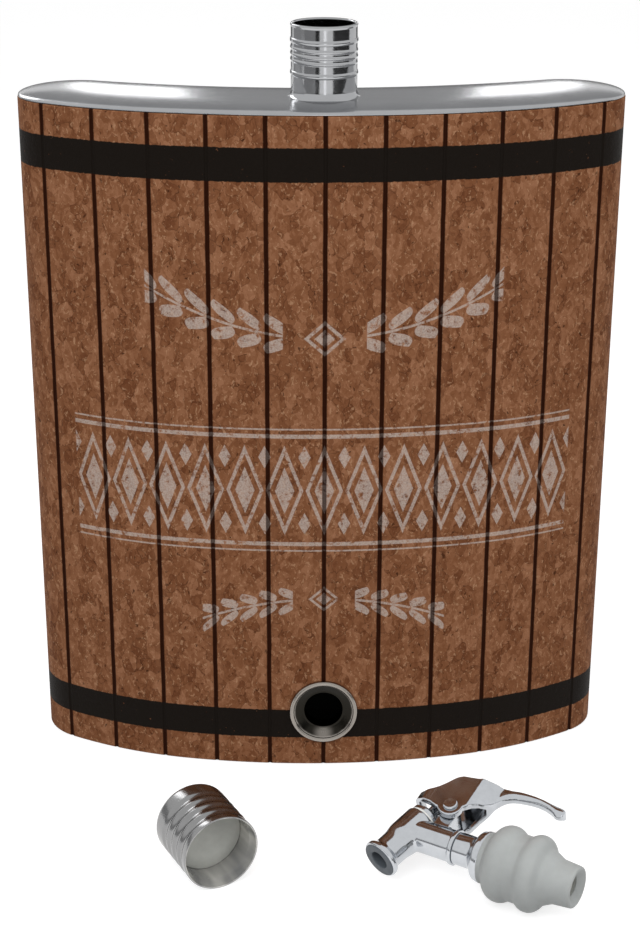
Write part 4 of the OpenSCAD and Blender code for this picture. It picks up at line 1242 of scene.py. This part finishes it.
def lamp(name, size, place, aim, power):
    """A soft square lamp aimed at a point."""
    light = bpy.data.lights.new(name, "AREA")
    light.shape, light.size, light.energy = "SQUARE", size, power
    obj = bpy.data.objects.new(name, light)
    bpy.context.scene.collection.objects.link(obj)
    obj.location = place
    obj.rotation_euler = (Vector(aim) - Vector(place)).to_track_quat("-Z", "Y").to_euler()
    obj.visible_glossy = False


def seen_plainly(w):
    """1 for what the camera, a mirror or a glass shows, and 0 for light on its way to the object."""
    path = w.node("ShaderNodeLightPath").outputs
    either = w.add(path["Is Camera Ray"], path["Is Glossy Ray"])
    return w.math("ADD", either, path["Is Transmission Ray"], clamp=True)


class FLASK_OT_stage(bpy.types.Operator):
    """Pale floor, soft light and the camera"""

    bl_idname = "flask_dispenser.stage"
    bl_label = "Stage"

    def execute(self, context):
        scene, tint = context.scene, context.scene.flask_finishes
        begin()
        bpy.ops.mesh.primitive_plane_add(size=FLOOR_SIZE, location=(0, 0, 0))
        floor = name_piece(bpy.context.object, "Floor")
        finish = bpy.data.materials.new("Floor")
        finish.use_nodes = True
        w = Wires(finish.node_tree)
        shader = finish.node_tree.nodes["Principled BSDF"]
        shader.inputs["Base Color"].default_value = tuple(tint.floor)
        shader.inputs["Roughness"].default_value = 0.9
        seen = seen_plainly(w)
        shader.inputs["Emission Color"].default_value = (1.0, 1.0, 1.0, 1.0)
        w.put(w.mul(seen, FLOOR_GLOW), shader.inputs["Emission Strength"])
        floor.data.materials.append(finish)

        world = bpy.data.worlds.new("Studio")
        scene.world = world
        world.use_nodes = True
        w = Wires(world.node_tree)
        nodes = world.node_tree.nodes
        seen = seen_plainly(w)
        soft = nodes["Background"]
        soft.inputs["Color"].default_value = (1.0, 1.0, 1.0, 1.0)
        soft.inputs["Strength"].default_value = SKY_LIGHT
        white = w.node("ShaderNodeBackground", values={"Color": (1.0, 1.0, 1.0, 1.0), "Strength": 1.0})
        both = w.node("ShaderNodeMixShader", links={0: seen, 1: soft.outputs[0], 2: white.outputs[0]})
        w.put(both.outputs[0], nodes["World Output"].inputs["Surface"])

        for values in LAMPS:
            lamp(*values)
        for values in BOARDS:
            card(*values)

        camera = bpy.data.objects.new("Camera", bpy.data.cameras.new("Camera"))
        scene.collection.objects.link(camera)
        turn = (Matrix.Rotation(math.radians(CAMERA_PAN), 4, "Z")
                @ Matrix.Rotation(math.radians(90 - CAMERA_DIP), 4, "X")
                @ Matrix.Rotation(math.radians(CAMERA_ROLL), 4, "Z"))
        camera.matrix_world = Matrix.Translation(CAMERA_PLACE) @ turn
        camera.data.lens = CAMERA_LENS
        camera.data.sensor_width = 36.0
        camera.data.clip_start = 0.01
        scene.camera = camera
        scene.view_settings.view_transform = "Standard"
        return {"FINISHED"}


STEPS = (FLASK_OT_stage, FLASK_OT_cork_wrap, FLASK_OT_steel_top, FLASK_OT_neck, FLASK_OT_collar, FLASK_OT_cap,
         FLASK_OT_tap_body, FLASK_OT_bung, FLASK_OT_lever, FLASK_OT_valve)


class FLASK_PT_build(bpy.types.Panel):
    """Steps that build the flask"""

    bl_idname = "FLASK_PT_build"
    bl_label = "Flask dispenser"
    bl_space_type = "VIEW_3D"
    bl_region_type = "UI"
    bl_category = "Flask"

    def draw(self, context):
        for step in STEPS:
            self.layout.operator(step.bl_idname)
        for group, _ in GROUPS:
            box = self.layout.box()
            values = getattr(context.scene, group)
            for key in values.bl_rna.properties.keys():
                if key not in ("rna_type", "name"):
                    box.prop(values, key)


GROUPS = (("flask_sizes", FlaskSizes), ("cap_sizes", CapSizes), ("tap_sizes", TapSizes),
          ("flask_finishes", Finishes))


def register():
    for key, group in GROUPS:
        bpy.utils.register_class(group)
        setattr(bpy.types.Scene, key, PointerProperty(type=group))
    for step in STEPS:
        bpy.utils.register_class(step)
    bpy.utils.register_class(FLASK_PT_build)


def unregister():
    bpy.utils.unregister_class(FLASK_PT_build)
    for step in reversed(STEPS):
        bpy.utils.unregister_class(step)
    for key, group in reversed(GROUPS):
        delattr(bpy.types.Scene, key)
        bpy.utils.unregister_class(group)


def main():
    register()
    make = bpy.ops.flask_dispenser
    make.stage()
    make.cork_wrap()
    make.steel_top()
    make.neck()
    make.collar()
    make.cap()
    make.tap_body()
    make.bung()
    make.lever()
    make.valve()


if __name__ == "__main__":
    main()
